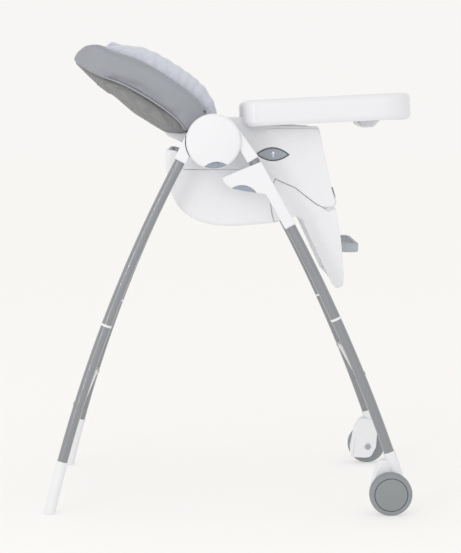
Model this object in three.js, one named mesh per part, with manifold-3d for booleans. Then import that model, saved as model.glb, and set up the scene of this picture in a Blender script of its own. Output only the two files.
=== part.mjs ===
// A folding baby high chair: two bowed front legs on wheels, two bowed rear legs on feet,
// a seat that slides on the front legs, a reclining back, a swinging calf rest with a footrest,
// and a tray. Millimetres, +Z up, +X towards the tray. The origin is on the floor, midway
// between the wheels and the rear feet and midway between the two sides.
import * as THREE from 'three';
import { mergeVertices } from 'three/addons/utils/BufferGeometryUtils.js';
import Module from 'manifold-3d';

const wasm = await Module();
wasm.setup();

// ---------------------------------------------------------------- driving dimensions
const LEG_Y = 260;              // each leg's plane, from the middle of the chair
const TUBE_R = 11.2;            // leg tube, outside
const TUBE_WALL = 1.5;
const TUBE_SIDES = 12;
const SPIGOT_R = 8.8;           // what plugs into a tube, clear of the flats of its bore
const GAP = 0.4;                // clearance between touching pieces
const HALF_ARM = 13.5;          // half width of a housing's arm round its tube
const ARM_Y = [246.5, 275.5];   // inner and outer face of the housings

const HUB = new THREE.Vector2(-31, 803);   // folding axis
const HUB_R = 58.5;
const HUB_SPLIT_Y = 260.5;      // the rear plate is inside this plane, the front plate outside

// legs: top, floor end and bow of each arc, in the side elevation
const FRONT_LEG = legArc([31.2, 800], [352.5, 120], 19.9);
const REAR_LEG = legArc([-81.1, 800], [-386.8, 0], 28.7);
const FRONT_TUBE_TOP_Z = 781;
const FRONT_ARM_END_Z = 764;
const FRONT_COLLAR_Z = 423;
const FRONT_TUBE_END_Z = 112;
const REAR_TUBE_TOP_Z = 776;
const REAR_ARM_END_Z = 761;
const REAR_COLLAR_Z = 410;
const REAR_TUBE_END_Z = 114;
const FRONT_CROSS_Z = 300;
const REAR_CROSS_Z = 236;
const CROSS_TUBE_R = 9;

const WHEEL_R = 46;
const WHEEL_X = 350;
const WHEEL_Y = [269.4, 295.5];
const BRACKET_Y = [240, 268.6];
const AXLE_R = 4;

const SEAT_HALF = 200;          // outside of the seat's side panels
const SIDE_Y = [192, SEAT_HALF];
const SEAM_Z = 741;             // joint line between seat shell and side panels
const CALF_PIVOT = new THREE.Vector2(221, 672);
const KNUCKLE_R = 12;
const CALF_SWEEP_R = 128;       // the calf rest's rear corner sweeps inside this circle
const CALF_Y = [187.5, 197];
const RECLINE_PIVOT = new THREE.Vector2(-75, 750);
const STUD_R = 5;

const FOOTREST_HALF = 135;
const TRAY_HALF = 250;
const TRAY_TILT = THREE.MathUtils.degToRad(2.8);
const TRAY_DISH_Z = 874;        // the dish floor's height below the tray's rear edge

// ---------------------------------------------------------------- finishes
function finish(color, roughness, metalness = 0) {
  return () => new THREE.MeshStandardMaterial({ color, roughness, metalness });
}
const WHITE = finish(0xf1f1f3, 0.35);
const TUBE_GREY = finish(0x8f9193, 0.25, 0.3);
const BUTTON_GREY = finish(0xa3abb8, 0.4);
const WHEEL_GREY = finish(0x93979a, 0.6);
const STEEL = finish(0xb8bbc0, 0.3, 1);
const COVER_GREY = finish(0x9c9ea4, 0.7);
const PANEL_GREY = finish(0x838383, 0.6);
const LINER = finish(0xcdd0d8, 0.9);
const FOOTREST_GREY = finish(0xa9afb5, 0.6);
const WEBBING = finish(0x8c8f96, 0.9);

// ---------------------------------------------------------------- geometry helpers
function legArc(top, foot, bow) {
  const a = new THREE.Vector2(...top);
  const b = new THREE.Vector2(...foot);
  const chord = b.clone().sub(a);
  const radius = (chord.lengthSq() / 4 + bow * bow) / (2 * bow);
  const outward = new THREE.Vector2(-chord.y, chord.x).normalize();
  if (Math.sign(outward.x) !== Math.sign(chord.x)) outward.negate();
  const centre = a.clone().add(b).multiplyScalar(0.5).addScaledVector(outward, bow - radius);
  return { centre, radius, ahead: Math.sign(chord.x) };
}

function arcPoint(arc, z, offset = 0) {   // offset is outwards, away from the arc's centre
  const rise = z - arc.centre.y;
  const run = arc.ahead * Math.sqrt(arc.radius ** 2 - rise ** 2);
  const out = new THREE.Vector2(run, rise).normalize();
  return new THREE.Vector2(arc.centre.x + run, z).addScaledVector(out, offset);
}

function arcDown(arc, z) {                // unit tangent, down the leg
  const out = arcPoint(arc, z).sub(arc.centre).normalize();
  return new THREE.Vector2(out.y, -out.x).multiplyScalar(arc.ahead);
}

class LegCurve extends THREE.Curve {
  constructor(arc, zTop, zEnd) {
    super();
    const angle = (z) => arcPoint(arc, z).sub(arc.centre).angle();
    this.arc = arc;
    this.from = angle(zTop);
    this.to = angle(zEnd);
    if (this.from - this.to > Math.PI) this.to += 2 * Math.PI;
    if (this.to - this.from > Math.PI) this.from += 2 * Math.PI;
  }

  getPoint(t, target = new THREE.Vector3()) {
    const angle = THREE.MathUtils.lerp(this.from, this.to, t);
    const { centre, radius } = this.arc;
    return target.set(centre.x + radius * Math.cos(angle), 0, centre.y + radius * Math.sin(angle));
  }
}

function circle(radius, sides = 24) {
  const shape = new THREE.Shape();
  for (let i = 0; i < sides; i++) {
    const angle = (2 * Math.PI * i) / sides;
    const point = [radius * Math.cos(angle), radius * Math.sin(angle)];
    if (i === 0) shape.moveTo(...point);
    else shape.lineTo(...point);
  }
  shape.closePath();
  return shape;
}

function sweep(arc, zTop, zEnd, outer, inner = 0, steps = 5) {
  const section = circle(outer, TUBE_SIDES);
  if (inner > 0) section.holes.push(circle(inner, TUBE_SIDES));
  const path = new LegCurve(arc, zTop, zEnd);
  return new THREE.ExtrudeGeometry(section, { steps, bevelEnabled: false, extrudePath: path });
}

// outline from corners [x, z, rounding radius], in the side elevation
function outline(corners) {
  const shape = new THREE.Shape();
  const points = corners.map(([x, z]) => new THREE.Vector2(x, z));
  corners.forEach(([x, z, round = 0], i) => {
    const back = points.at(i - 1).clone().sub(points[i]);
    const on = points[(i + 1) % points.length].clone().sub(points[i]);
    const half = Math.acos(THREE.MathUtils.clamp(back.dot(on) / back.length() / on.length(), -1, 1)) / 2;
    const cut = Math.min(round / Math.tan(half), back.length() * 0.48, on.length() * 0.48);
    const start = points[i].clone().addScaledVector(back.normalize(), cut);
    const end = points[i].clone().addScaledVector(on.normalize(), cut);
    if (i === 0) shape.moveTo(start.x, start.y);
    else shape.lineTo(start.x, start.y);
    if (cut > 0) shape.quadraticCurveTo(x, z, end.x, end.y);
  });
  shape.closePath();
  return shape;
}

// a side-elevation outline made solid between two Y planes
function slab(shape, yLow, yHigh, curveSegments = 3) {
  const depth = yHigh - yLow;
  const geometry = new THREE.ExtrudeGeometry(shape, { depth, bevelEnabled: false, curveSegments });
  return geometry.rotateX(Math.PI / 2).translate(0, yHigh, 0);
}

// a plan outline made solid between two heights
function plate(shape, zLow, zHigh, curveSegments = 4) {
  const depth = zHigh - zLow;
  const geometry = new THREE.ExtrudeGeometry(shape, { depth, bevelEnabled: false, curveSegments });
  return geometry.translate(0, 0, zLow);
}

// the right-hand side's version of a slab, given distances from the middle
function rightSlab(shape, inner, outer, curveSegments) {
  return slab(shape, -outer, -inner, curveSegments);
}

function disc(centre, radius, inner, outer, sides = 32) {
  return rightSlab(circle(radius, sides), inner, outer).translate(centre.x, 0, centre.y);
}

// a turned profile [radius, distance from the middle], its axis across the chair at a point
function turned(centre, profile, sides = 24) {
  const points = profile.map(([radius, along]) => new THREE.Vector2(radius, along));
  const geometry = new THREE.LatheGeometry(points, sides);
  return geometry.rotateX(Math.PI).translate(centre.x, 0, centre.y);
}

// a lens: two shallow arcs between two tips
function lens(left, right, rise, sag) {
  const shape = new THREE.Shape();
  const steps = 6;
  const a = new THREE.Vector2(...left);
  const b = new THREE.Vector2(...right);
  const up = new THREE.Vector2(a.y - b.y, b.x - a.x).normalize();
  const bulge = (t, height) => a.clone().lerp(b, t).addScaledVector(up, 4 * height * t * (1 - t));
  shape.moveTo(a.x, a.y);
  for (let i = 1; i <= steps; i++) shape.lineTo(...bulge(i / steps, rise).toArray());
  for (let i = steps - 1; i > 0; i--) shape.lineTo(...bulge(i / steps, -sag).toArray());
  shape.closePath();
  return shape;
}

function solid(geometry) {
  const bare = geometry.index ? geometry : geometry.clone();
  bare.deleteAttribute('normal');
  bare.deleteAttribute('uv');
  const merged = mergeVertices(bare, 1e-4);
  return new wasm.Manifold(new wasm.Mesh({
    numProp: 3,
    vertProperties: new Float32Array(merged.attributes.position.array),
    triVerts: new Uint32Array(merged.index.array),
  }));
}

function geometryOf(manifold) {
  const mesh = manifold.getMesh();
  const geometry = new THREE.BufferGeometry();
  geometry.setAttribute('position', new THREE.BufferAttribute(mesh.vertProperties, 3));
  geometry.setIndex(new THREE.BufferAttribute(mesh.triVerts, 1));
  return geometry;
}

function join(...geometries) {
  return geometryOf(geometries.map(solid).reduce((whole, part) => whole.add(part)));
}

function cut(geometry, ...tools) {
  return geometryOf(tools.map(solid).reduce((whole, tool) => whole.subtract(tool), solid(geometry)));
}

function common(a, b) {
  return geometryOf(solid(a).intersect(solid(b)));
}

function mirrored(geometry) {
  const copy = (geometry.index ? geometry : mergeVertices(geometry)).clone();
  copy.deleteAttribute('normal');
  copy.deleteAttribute('uv');
  copy.scale(1, -1, 1);
  const { array } = copy.index;
  for (let i = 0; i < array.length; i += 3) [array[i], array[i + 1]] = [array[i + 1], array[i]];
  return copy;
}

// ---------------------------------------------------------------- scene graph
const chair = new THREE.Group();
chair.name = 'high_chair';

function add(name, geometry, material) {
  geometry.deleteAttribute('normal');
  geometry.computeVertexNormals();
  const mesh = new THREE.Mesh(geometry, material());
  mesh.name = name;
  chair.add(mesh);
  return mesh;
}

function addPair(name, geometry, material) {
  add(`${name}_left`, mirrored(geometry), material);
  add(`${name}_right`, geometry, material);
}

// a piece drawn in the middle plane, moved out to the right-hand leg's plane
function onLeg(geometry) {
  return geometry.translate(0, -LEG_Y, 0);
}

// ---------------------------------------------------------------- legs
function legTube(arc, zTop, zEnd) {
  return onLeg(sweep(arc, zTop, zEnd, TUBE_R, TUBE_R - TUBE_WALL));
}

function collar(arc, z) {
  const flange = 1.7;
  const spigot = 24;
  const profile = [[0, -spigot], [SPIGOT_R, -spigot], [SPIGOT_R, -flange], [TUBE_R + 0.6, -flange],
    [TUBE_R + 0.6, flange], [SPIGOT_R, flange], [SPIGOT_R, spigot], [0, spigot]];
  const geometry = new THREE.LatheGeometry(profile.map((p) => new THREE.Vector2(...p)), 16);
  const down = arcDown(arc, z);
  const axis = new THREE.Vector3(-down.x, 0, -down.y);
  geometry.applyQuaternion(new THREE.Quaternion().setFromUnitVectors(new THREE.Vector3(0, 1, 0), axis));
  const at = arcPoint(arc, z);
  return onLeg(geometry.translate(at.x, 0, at.y));
}

function crossTube(arc, z) {
  const at = arcPoint(arc, z);
  const section = circle(CROSS_TUBE_R, 14);
  section.holes.push(circle(CROSS_TUBE_R - TUBE_WALL, 14));
  const bar = slab(section, -LEG_Y, LEG_Y).translate(at.x, 0, at.y);
  const saddle = sweep(arc, z + 40, z - 40, TUBE_R + GAP, 0, 2);
  return cut(bar, saddle.clone().translate(0, LEG_Y, 0), saddle.clone().translate(0, -LEG_Y, 0));
}

const COLLAR_GAP = 2.1;
addPair('front_upper_tube', legTube(FRONT_LEG, FRONT_TUBE_TOP_Z, FRONT_COLLAR_Z + COLLAR_GAP), TUBE_GREY);
addPair('front_collar', collar(FRONT_LEG, FRONT_COLLAR_Z), WHITE);
addPair('front_lower_tube', legTube(FRONT_LEG, FRONT_COLLAR_Z - COLLAR_GAP, FRONT_TUBE_END_Z), TUBE_GREY);
add('front_cross_tube', crossTube(FRONT_LEG, FRONT_CROSS_Z), TUBE_GREY);
addPair('rear_upper_tube', legTube(REAR_LEG, REAR_TUBE_TOP_Z, REAR_COLLAR_Z + COLLAR_GAP), TUBE_GREY);
addPair('rear_collar', collar(REAR_LEG, REAR_COLLAR_Z), WHITE);
addPair('rear_lower_tube', legTube(REAR_LEG, REAR_COLLAR_Z - COLLAR_GAP, REAR_TUBE_END_Z), TUBE_GREY);
add('rear_cross_tube', crossTube(REAR_LEG, REAR_CROSS_Z), TUBE_GREY);

function rearFoot() {
  const shoe = sweep(REAR_LEG, REAR_TUBE_END_Z - GAP, -12, TUBE_R + 0.8, 0, 4);
  const spigot = sweep(REAR_LEG, REAR_TUBE_END_Z + 26, REAR_TUBE_END_Z - 6, SPIGOT_R, 0, 2);
  const under = new THREE.BoxGeometry(120, 60, 40);
  under.translate(arcPoint(REAR_LEG, 0).x, 0, -20);
  return onLeg(cut(join(shoe, spigot), under));
}
addPair('rear_foot', rearFoot(), WHITE);

// ---------------------------------------------------------------- wheels
const WHEEL = new THREE.Vector2(WHEEL_X, WHEEL_R);

function wheelBracket() {
  const top = FRONT_TUBE_END_Z + 20;
  const socket = onLeg(sweep(FRONT_LEG, top, 84, HALF_ARM, 0, 3));
  const shield = outline([[330, 116, 10], [364, 112, 16], [372, 78, 14], [366, 36, 24], [344, 19, 10],
    [309, 19, 4], [307, 40, 18], [316, 92, 20]]);
  const body = join(socket, rightSlab(shield, ...BRACKET_Y));
  const clearOfWheel = disc(WHEEL, WHEEL_R + 2, BRACKET_Y[1], 300);
  const bore = onLeg(sweep(FRONT_LEG, top + 10, FRONT_TUBE_END_Z - GAP, TUBE_R + 0.5, 0, 2));
  return cut(body, clearOfWheel, bore, disc(WHEEL, AXLE_R + 0.2, 230, 300, 16));
}

function wheelAxle() {
  return turned(WHEEL, [[0, 236.5], [7, 236.5], [7, 239.5], [AXLE_R, 239.5], [AXLE_R, 290], [0, 290]], 16);
}

function wheelTyre() {
  const [inner, outer] = WHEEL_Y;
  const bore = AXLE_R + 0.3;
  return turned(WHEEL, [[bore, inner], [WHEEL_R - 4, inner], [WHEEL_R - 1, inner + 1.5], [WHEEL_R, inner + 5],
    [WHEEL_R, outer - 6], [WHEEL_R - 1.5, outer - 2], [WHEEL_R - 5, outer], [37, outer], [36.4, outer - 4.5],
    [bore, outer - 4.5], [bore, inner]], 32);
}

function wheelCap() {
  const outer = WHEEL_Y[1];
  return turned(WHEEL, [[0, outer - 4.1], [35.4, outer - 4.1], [35.4, outer - 1], [33, outer], [16, outer + 0.7],
    [0, outer + 1]], 32);
}

addPair('wheel_bracket', wheelBracket(), WHITE);
addPair('wheel_axle', wheelAxle(), STEEL);
addPair('wheel_tyre', wheelTyre(), WHEEL_GREY);
addPair('wheel_cap', wheelCap(), WHEEL_GREY);

// ---------------------------------------------------------------- folding hub
// the hub's disc with an arm that runs down one leg, its outer edge tangent to the disc
function hubOutline(arc, endZ) {
  const outer = arcPoint(arc, endZ, HALF_ARM);
  const inner = arcPoint(arc, endZ, -HALF_ARM);
  const toOuter = outer.clone().sub(HUB);
  const tangentAngle = toOuter.angle() + arc.ahead * Math.acos(HUB_R / toOuter.length());
  const along = arcDown(arc, endZ);
  const fromHub = inner.clone().sub(HUB);
  const reach = fromHub.dot(along) - Math.sqrt(HUB_R ** 2 - fromHub.cross(along) ** 2);
  const innerAngle = fromHub.clone().addScaledVector(along, -reach).angle();
  const shape = new THREE.Shape();
  shape.moveTo(outer.x, outer.y);
  shape.absarc(HUB.x, HUB.y, HUB_R, tangentAngle, innerAngle, arc.ahead < 0);
  shape.lineTo(inner.x, inner.y);
  shape.closePath();
  return shape;
}

function hubHousing(arc, armEndZ, tubeTopZ, clearInner, clearOuter) {
  const body = rightSlab(hubOutline(arc, armEndZ), ...ARM_Y, 20);
  const otherPlate = disc(HUB, HUB_R + 2, clearInner, clearOuter, 32);
  const bore = onLeg(sweep(arc, tubeTopZ + GAP, armEndZ - 30, TUBE_R + 0.5, 0, 2));
  return cut(body, otherPlate, bore, disc(HUB, 7.4, 230, 290, 16));
}

const FOLD_LENS = [[-59.5, 754], [8, 754]];
function hubCover() {
  const back = ARM_Y[1] + GAP;
  const dome = turned(HUB, [[0, back], [HUB_R, back], [HUB_R, back + 4], [HUB_R - 2.5, back + 7.5],
    [HUB_R - 12, back + 10.5], [30, back + 12], [0, back + 12.6]], 32);
  return cut(dome, rightSlab(lens(...FOLD_LENS, 6.6, 24), back - 1, back + 20));
}

function foldButton() {
  const back = ARM_Y[1] + GAP + 4;
  const slug = turned(HUB, [[0, back], [HUB_R - 0.6, back], [HUB_R - 1, back + 3], [HUB_R - 6, back + 6],
    [0, back + 7]], 32);
  return common(slug, rightSlab(lens([-58.5, 753.2], [7, 753.2], 6.4, 24), back - 1, back + 20));
}

function hubPin() {
  return turned(HUB, [[0, 240], [13, 240], [13, 246], [7, 246], [7, 275], [0, 275]], 20);
}

addPair('front_housing', hubHousing(FRONT_LEG, FRONT_ARM_END_Z, FRONT_TUBE_TOP_Z, 240, HUB_SPLIT_Y + GAP), WHITE);
addPair('rear_housing', hubHousing(REAR_LEG, REAR_ARM_END_Z, REAR_TUBE_TOP_Z, HUB_SPLIT_Y - GAP, 290), WHITE);
addPair('hub_cover', hubCover(), WHITE);
addPair('fold_button', foldButton(), BUTTON_GREY);
addPair('hub_pin', hubPin(), STEEL);

// ---------------------------------------------------------------- seat height slider
const HEIGHT_LENS = [[8, 704.5], [60, 695]];
function heightSlider() {
  const topRight = arcPoint(FRONT_LEG, 754, HALF_ARM);
  const endRight = arcPoint(FRONT_LEG, 622, HALF_ARM - 1);
  const endLeft = arcPoint(FRONT_LEG, 622, 1 - HALF_ARM);
  const wing = outline([[topRight.x, topRight.y, 3], [-14, 726, 5], [-10, 716, 3], [8, 704, 6], [34, 697, 20],
    [60, 693.5, 8], [80, 689, 6], [endLeft.x, endLeft.y, 1], [endRight.x, endRight.y, 1]]);
  const boss = outline([[16, 738, 10], [70, 746, 10], [94, 706, 10], [40, 704, 10]]);
  const body = join(rightSlab(wing, 246.5, 273.5), rightSlab(boss, SEAT_HALF + 0.5, 247));
  const bore = onLeg(sweep(FRONT_LEG, 800, 580, TUBE_R + 0.6, 0, 6));
  return cut(body, bore, rightSlab(lens(...HEIGHT_LENS, 6.6, 6.6), 264, 280));
}

function heightButton() {
  return rightSlab(lens([9.5, 704], [58.5, 695.3], 5.8, 4.2), 268.2, 274.5);
}

addPair('height_slider', heightSlider(), WHITE);
addPair('height_button', heightButton(), BUTTON_GREY);

// ---------------------------------------------------------------- seat
const SEAM = [[205, 660], [190, 668], [146, 702], [107, 719], [92, 730], [76, SEAM_Z]];

function seatSide() {
  const panel = outline([[-98, SEAM_Z], [-98, 800, 20], [-62, 846, 24], [-30, 854, 20], [52, 854, 8],
    [68, 837, 8], [196, 834, 6], [225, 700, 30], [233, 672], [221, 660], ...SEAM]);
  const body = join(rightSlab(panel, ...SIDE_Y), disc(CALF_PIVOT, KNUCKLE_R, ...SIDE_Y));
  const button = rightSlab(lens([61, 775], [133, 773.5], 15, 14), 194.5, SEAT_HALF + 1);
  const calfStudBore = disc(CALF_PIVOT, STUD_R + 0.3, 190, SEAT_HALF - 2, 16);
  const reclineStudBore = disc(RECLINE_PIVOT, STUD_R + 0.3, 190, SEAT_HALF - 2, 16);
  const calfButtonSlot = rightSlab(outline([[222, 706], [236, 706], [240, 676], [230, 684]]), 190, 202);
  return cut(body, button, calfStudBore, reclineStudBore, calfButtonSlot);
}

function armButton() {
  return rightSlab(lens([62, 775], [132, 773.5], 14.2, 13.2), 198, SEAT_HALF + 1.4);
}

const FLOOR_Z = 650;
function seatShell() {
  const bucket = outline([[-134, 783, 5], [-134, 742, 20], [-120, 684, 30], [-99, 651, 20], [-62, 628, 20],
    [-31, 620, 20], [8, 618, 20], [110, 627], [110, 715.5], [91.5, 729.5], [75.5, SEAM_Z - GAP],
    [-101, SEAM_Z - GAP], [-118, 746, 6],
    [-120, 784, 5]]);
  const tongue = outline([[60, 634], [150, 644, 10], [204, 654, 8], [206, 668, 4], [200, 735, 8], [60, 735]]);
  const inside = outline([[-128, 900], [-128, 742, 20], [-114, 687, 30], [-94, 656, 20], [-58, FLOOR_Z - 14, 20],
    [60, 638, 20], [200, 664, 4], [220, 670], [220, 900]]);
  const calfRoom = rightSlab(circle(CALF_SWEEP_R + 2.2, 48), 187, 205).translate(CALF_PIVOT.x, 0, CALF_PIVOT.y);
  const outer = join(slab(bucket, -199.6, 199.6), slab(tongue, -186.6, 186.6));
  const rearCavity = common(slab(inside, -191.4, 191.4), new THREE.BoxGeometry(400, 400, 400).translate(-118, 0, 800));
  return cut(outer, slab(inside, -182, 182), rearCavity, calfRoom, mirrored(calfRoom));
}

function seatPad() {
  const cushion = outline([[-88, 664, 16], [-56, 640, 14], [60, 642, 20], [214, 671, 6], [216, 690, 10],
    [180, 702, 20], [60, 686, 30], [-40, 688, 20], [-84, 706, 10]]);
  return slab(cushion, -178, 178);
}

addPair('seat_side', seatSide(), WHITE);
addPair('arm_button', armButton(), BUTTON_GREY);
add('seat_shell', seatShell(), WHITE);
add('seat_pad', seatPad(), LINER);

function crotchStrap() {
  return slab(outline([[118, 697.5], [118, 748, 1], [121, 748, 1], [121, 698]]), -15, 15);
}

function buckle() {
  return slab(outline([[108, 740, 2], [108, 762, 4], [116.6, 764, 3], [116.6, 738, 2]]), -24, 24);
}
add('crotch_strap', crotchStrap(), WEBBING);
add('harness_buckle', buckle(), PANEL_GREY);

// ---------------------------------------------------------------- calf rest
const BOARD_DOWN = new THREE.Vector2(0.075, -1).normalize();   // the footrest slides this way
const BOARD_AT = new THREE.Vector2(240, 590);

function boardFront(z, inset = 0) {
  return [BOARD_AT.x + BOARD_DOWN.x * ((z - BOARD_AT.y) / BOARD_DOWN.y) - inset, z];
}

function calfPanel() {
  const cheek = outline([[234, 657, 4], [246, 590, 60], [253, 512, 30], [251, 487, 8], [236, 482, 8],
    [226, 494, 8], [161, 633, 4], [150, 640, 4], [100, 629, 6], [88, 672, 30], [96, 723.5, 3],
    [107, 717.4], [146, 700.4], [189, 666.5], [205, 658], [218, 650]]);
  const knuckleRoom = disc(CALF_PIVOT, KNUCKLE_R + 0.9, 180, 205);
  const sweepLimit = rightSlab(circle(CALF_SWEEP_R, 48), 180, 200).translate(CALF_PIVOT.x, 0, CALF_PIVOT.y);
  const longReach = rightSlab(outline([[150, 760], [330, 760], [330, 440], [150, 440]]), 180, 200);
  const lug = disc(CALF_PIVOT, 15, CALF_Y[0], 191.4, 24);
  const lugWeb = rightSlab(outline([[212, 672], [230, 672], [232, 640], [212, 640]]), CALF_Y[0], 191.4);
  const stud = disc(CALF_PIVOT, STUD_R, 190, 197, 16);
  const side = join(common(cut(rightSlab(cheek, ...CALF_Y), knuckleRoom), join(sweepLimit, longReach)), lug,
    lugWeb, stud);
  const board = slab(outline([boardFront(652), boardFront(494), boardFront(494, 5), boardFront(652, 5)]), -190, 190);
  const toe = slab(outline([boardFront(500), [240, 484, 3], [230, 494], boardFront(500, 5)]), -190, 190);
  return join(side, mirrored(side), board, toe);
}

function footrest() {
  const tread = outline([boardFront(577, -1.2), [272, 577, 3], [289, 573, 5], [291, 566, 4], [286, 561, 6],
    boardFront(556, -1.2)]);
  const treadSolid = slab(tread, -FOOTREST_HALF, FOOTREST_HALF);
  const plan = new THREE.Shape();
  const nose = 22;
  plan.moveTo(230, -FOOTREST_HALF);
  plan.lineTo(291 - nose, -FOOTREST_HALF);
  plan.quadraticCurveTo(291, -FOOTREST_HALF, 291.5, nose - FOOTREST_HALF);
  plan.lineTo(291.5, FOOTREST_HALF - nose);
  plan.quadraticCurveTo(291, FOOTREST_HALF, 291 - nose, FOOTREST_HALF);
  plan.lineTo(230, FOOTREST_HALF);
  plan.closePath();
  const web = slab(outline([boardFront(600, -GAP), boardFront(600, -4), boardFront(540, -4), boardFront(540, -GAP)]),
    -70, 70);
  return join(common(treadSolid, plate(plan, 540, 600)), web);
}

function calfButton() {
  return rightSlab(outline([[223.6, 704, 1], [227.3, 703, 1], [234, 680, 1], [230.4, 685, 1]]), 195.2, 199.6);
}

add('calf_panel', calfPanel(), WHITE);
add('footrest', footrest(), FOOTREST_GREY);
addPair('calf_button', calfButton(), PANEL_GREY);

// ---------------------------------------------------------------- backrest
// the back's layers are bands at given distances from one curve in the side elevation
const BACK_CURVE = new THREE.SplineCurve([[-74, 752], [-80, 795], [-100, 839], [-144, 877], [-215, 920],
  [-287, 950], [-336, 981]].map((p) => new THREE.Vector2(...p)));

function backPoint(t, height) {
  const at = BACK_CURVE.getPoint(t);
  const along = BACK_CURVE.getTangent(t);
  return at.add(new THREE.Vector2(along.y, -along.x).multiplyScalar(height));
}

function backBand(low, high, from, to, steps = 12) {
  const shape = new THREE.Shape();
  const height = (edge, t) => (typeof edge === 'function' ? edge(t) : edge);
  const points = [];
  for (let i = 0; i <= steps; i++) {
    const t = THREE.MathUtils.lerp(from, to, i / steps);
    points.push(backPoint(t, height(high, t)));
  }
  for (let i = steps; i >= 0; i--) {
    const t = THREE.MathUtils.lerp(from, to, i / steps);
    points.push(backPoint(t, height(low, t)));
  }
  shape.setFromPoints(points);
  shape.closePath();
  return shape;
}

const smooth = (t, from, to) => THREE.MathUtils.smoothstep(t, from, to);
// how far the rear panel stands behind the curve, thick at the seat and thin at the head
const rearDepth = (t) => -4 - 38 * smooth(t, 0.1, 0.34) * (1 - smooth(t, 0.55, 0.98));
const COVER_HEIGHT = 64;
const PAD_FLOOR = 26;
const linerHeight = (t) => 66 + 30 * smooth(t, 0.1, 0.45) * (1 - smooth(t, 0.62, 0.95));
// the head end is rounded: a band's height shrinks near the tip
const headRound = (t, height) => height * Math.sqrt(Math.max(0.12, 1 - Math.max(0, (t - 0.86) / 0.14) ** 2));

// the head end's corners are rounded in plan
function headPlan(half, tip, corner) {
  const shape = outline([[60, -half], [60, half], [tip, half, corner], [tip, -half, corner]]);
  return plate(shape, 700, 1100, 10);
}

function backShell() {
  const band = slab(backBand(rearDepth, -1.2, 0.04, 0.955), -150, 150);
  const outer = common(band, headPlan(150, -345, 80));
  const hollow = slab(backBand((t) => rearDepth(t) + 4, 8, 0.34, 0.8, 8), -145, 145);
  const barrel = slab(circle(12, 20), -186, 186).translate(RECLINE_PIVOT.x, 0, RECLINE_PIVOT.y);
  const studs = slab(circle(STUD_R, 16), -197, 197).translate(RECLINE_PIVOT.x, 0, RECLINE_PIVOT.y);
  const handlePocket = slab(handleOutline(0.02, 14), -59, 59);
  return cut(join(outer, barrel, studs), hollow, handlePocket);
}

// the handle's bar, from a depth inside the rear panel to just behind it; room lengthens it both ways
function handleOutline(room, deep) {
  const low = 0.66 - room;
  const high = 0.82 + room;
  const behind = (t, extra, round) => [...backPoint(t, rearDepth(t) + extra).toArray(), round];
  return outline([behind(low, deep, 0), behind(low, -7, 3), behind(high, -7, 3), behind(high, deep, 0)]);
}

function reclineHandle() {
  return slab(handleOutline(0, 3), -56, 56);
}

function backCover() {
  const wall = slab(backBand(0, (t) => headRound(t, COVER_HEIGHT), 0.27, 1, 14), -176, 176);
  const room = slab(backBand(4, COVER_HEIGHT + 20, 0.2, 0.94, 12), -151, 151);
  return cut(common(wall, headPlan(176, -350, 88)), common(room, headPlan(151, -317, 66)));
}

function backPad() {
  const pad = slab(backBand(4.6, (t) => headRound(t, linerHeight(t)), 0.075, 0.93, 14), -150, 150);
  const room = slab(backBand(PAD_FLOOR, 130, 0.0, 0.9, 12), -104, 104);
  return cut(common(pad, headPlan(150, -316, 65)), room);
}

function headPillow() {
  return slab(backBand(PAD_FLOOR + 1.2, (t) => PAD_FLOOR + 20 + 30 * smooth(t, 0.66, 0.76), 0.66, 0.86, 5), -98, 98);
}

function shoulderStrap() {
  return rightSlab(backBand(PAD_FLOOR + GAP, PAD_FLOOR + 2.4, 0.225, 0.6, 5), 38, 64);
}

add('back_shell', backShell(), PANEL_GREY);
add('back_cover', backCover(), COVER_GREY);
add('back_pad', backPad(), LINER);
add('head_pillow', headPillow(), LINER);
add('recline_handle', reclineHandle(), PANEL_GREY);
addPair('shoulder_strap', shoulderStrap(), WEBBING);

// ---------------------------------------------------------------- tray
function trayPlan(inset, armEnd = 31) {
  const half = TRAY_HALF - inset;
  const front = 394 - inset;
  const belly = 150 + inset;
  const rear = armEnd + inset;
  return outline([[rear, -half, 40], [front, -half, 70], [front, half, 70], [rear, half, 40], [rear, belly, 30],
    [150 + inset, belly, 90], [150 + inset, -belly, 90], [rear, -belly, 30]]);
}

function trayBase() {
  const profile = outline([[31, 850, 16], [31, 889, 18], [60, 893, 10], [383, 908, 4], [394, 898, 8],
    [394, 872, 24], [372, 848, 16], [194, 838, 4], [172, 840, 8], [120, 830, 10], [56, 832, 8]]);
  const block = common(plate(trayPlan(0), 820, 920), slab(profile, -260, 260, 4));
  const dish = plate(trayPlan(13), 0, 60).rotateY(-TRAY_TILT).translate(-4, 0, TRAY_DISH_Z);
  const under = common(plate(trayPlan(5), 780, 900),
    slab(outline([[20, 820], [20, 870.5], [400, 889], [400, 820]]), -260, 260));
  const sideSlot = rightSlab(outline([[10, 800], [10, 859], [60, 859], [60, 800]]), 187, 205);
  return cut(block, dish, under, sideSlot, mirrored(sideSlot));
}

function trayInsert() {
  const body = plate(trayPlan(14.5), 0.5, 16).rotateY(-TRAY_TILT).translate(-4, 0, TRAY_DISH_Z);
  const hollow = plate(trayPlan(22), 4, 40).rotateY(-TRAY_TILT).translate(-4, 0, TRAY_DISH_Z);
  return cut(body, hollow);
}

function trayHandle() {
  return slab(outline([[395, 897, 1], [396.6, 897, 2], [398.5, 886, 3], [396.6, 868, 2], [395, 867, 1]]), -75, 75);
}

add('tray_base', trayBase(), WHITE);
add('tray_insert', trayInsert(), WHITE);
add('tray_handle', trayHandle(), WHITE);

export default chair;
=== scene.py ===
"""A folding baby high chair: bowed legs on wheels and feet, a bucket seat that slides on the
front legs, a padded reclining back, a calf rest with a footrest, and a tray."""
from math import acos, atan2, cos, exp, pi, radians, sin, sqrt, tan

import bmesh
import bpy
import numpy
from mathutils import Matrix, Vector
from mathutils.noise import noise


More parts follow.
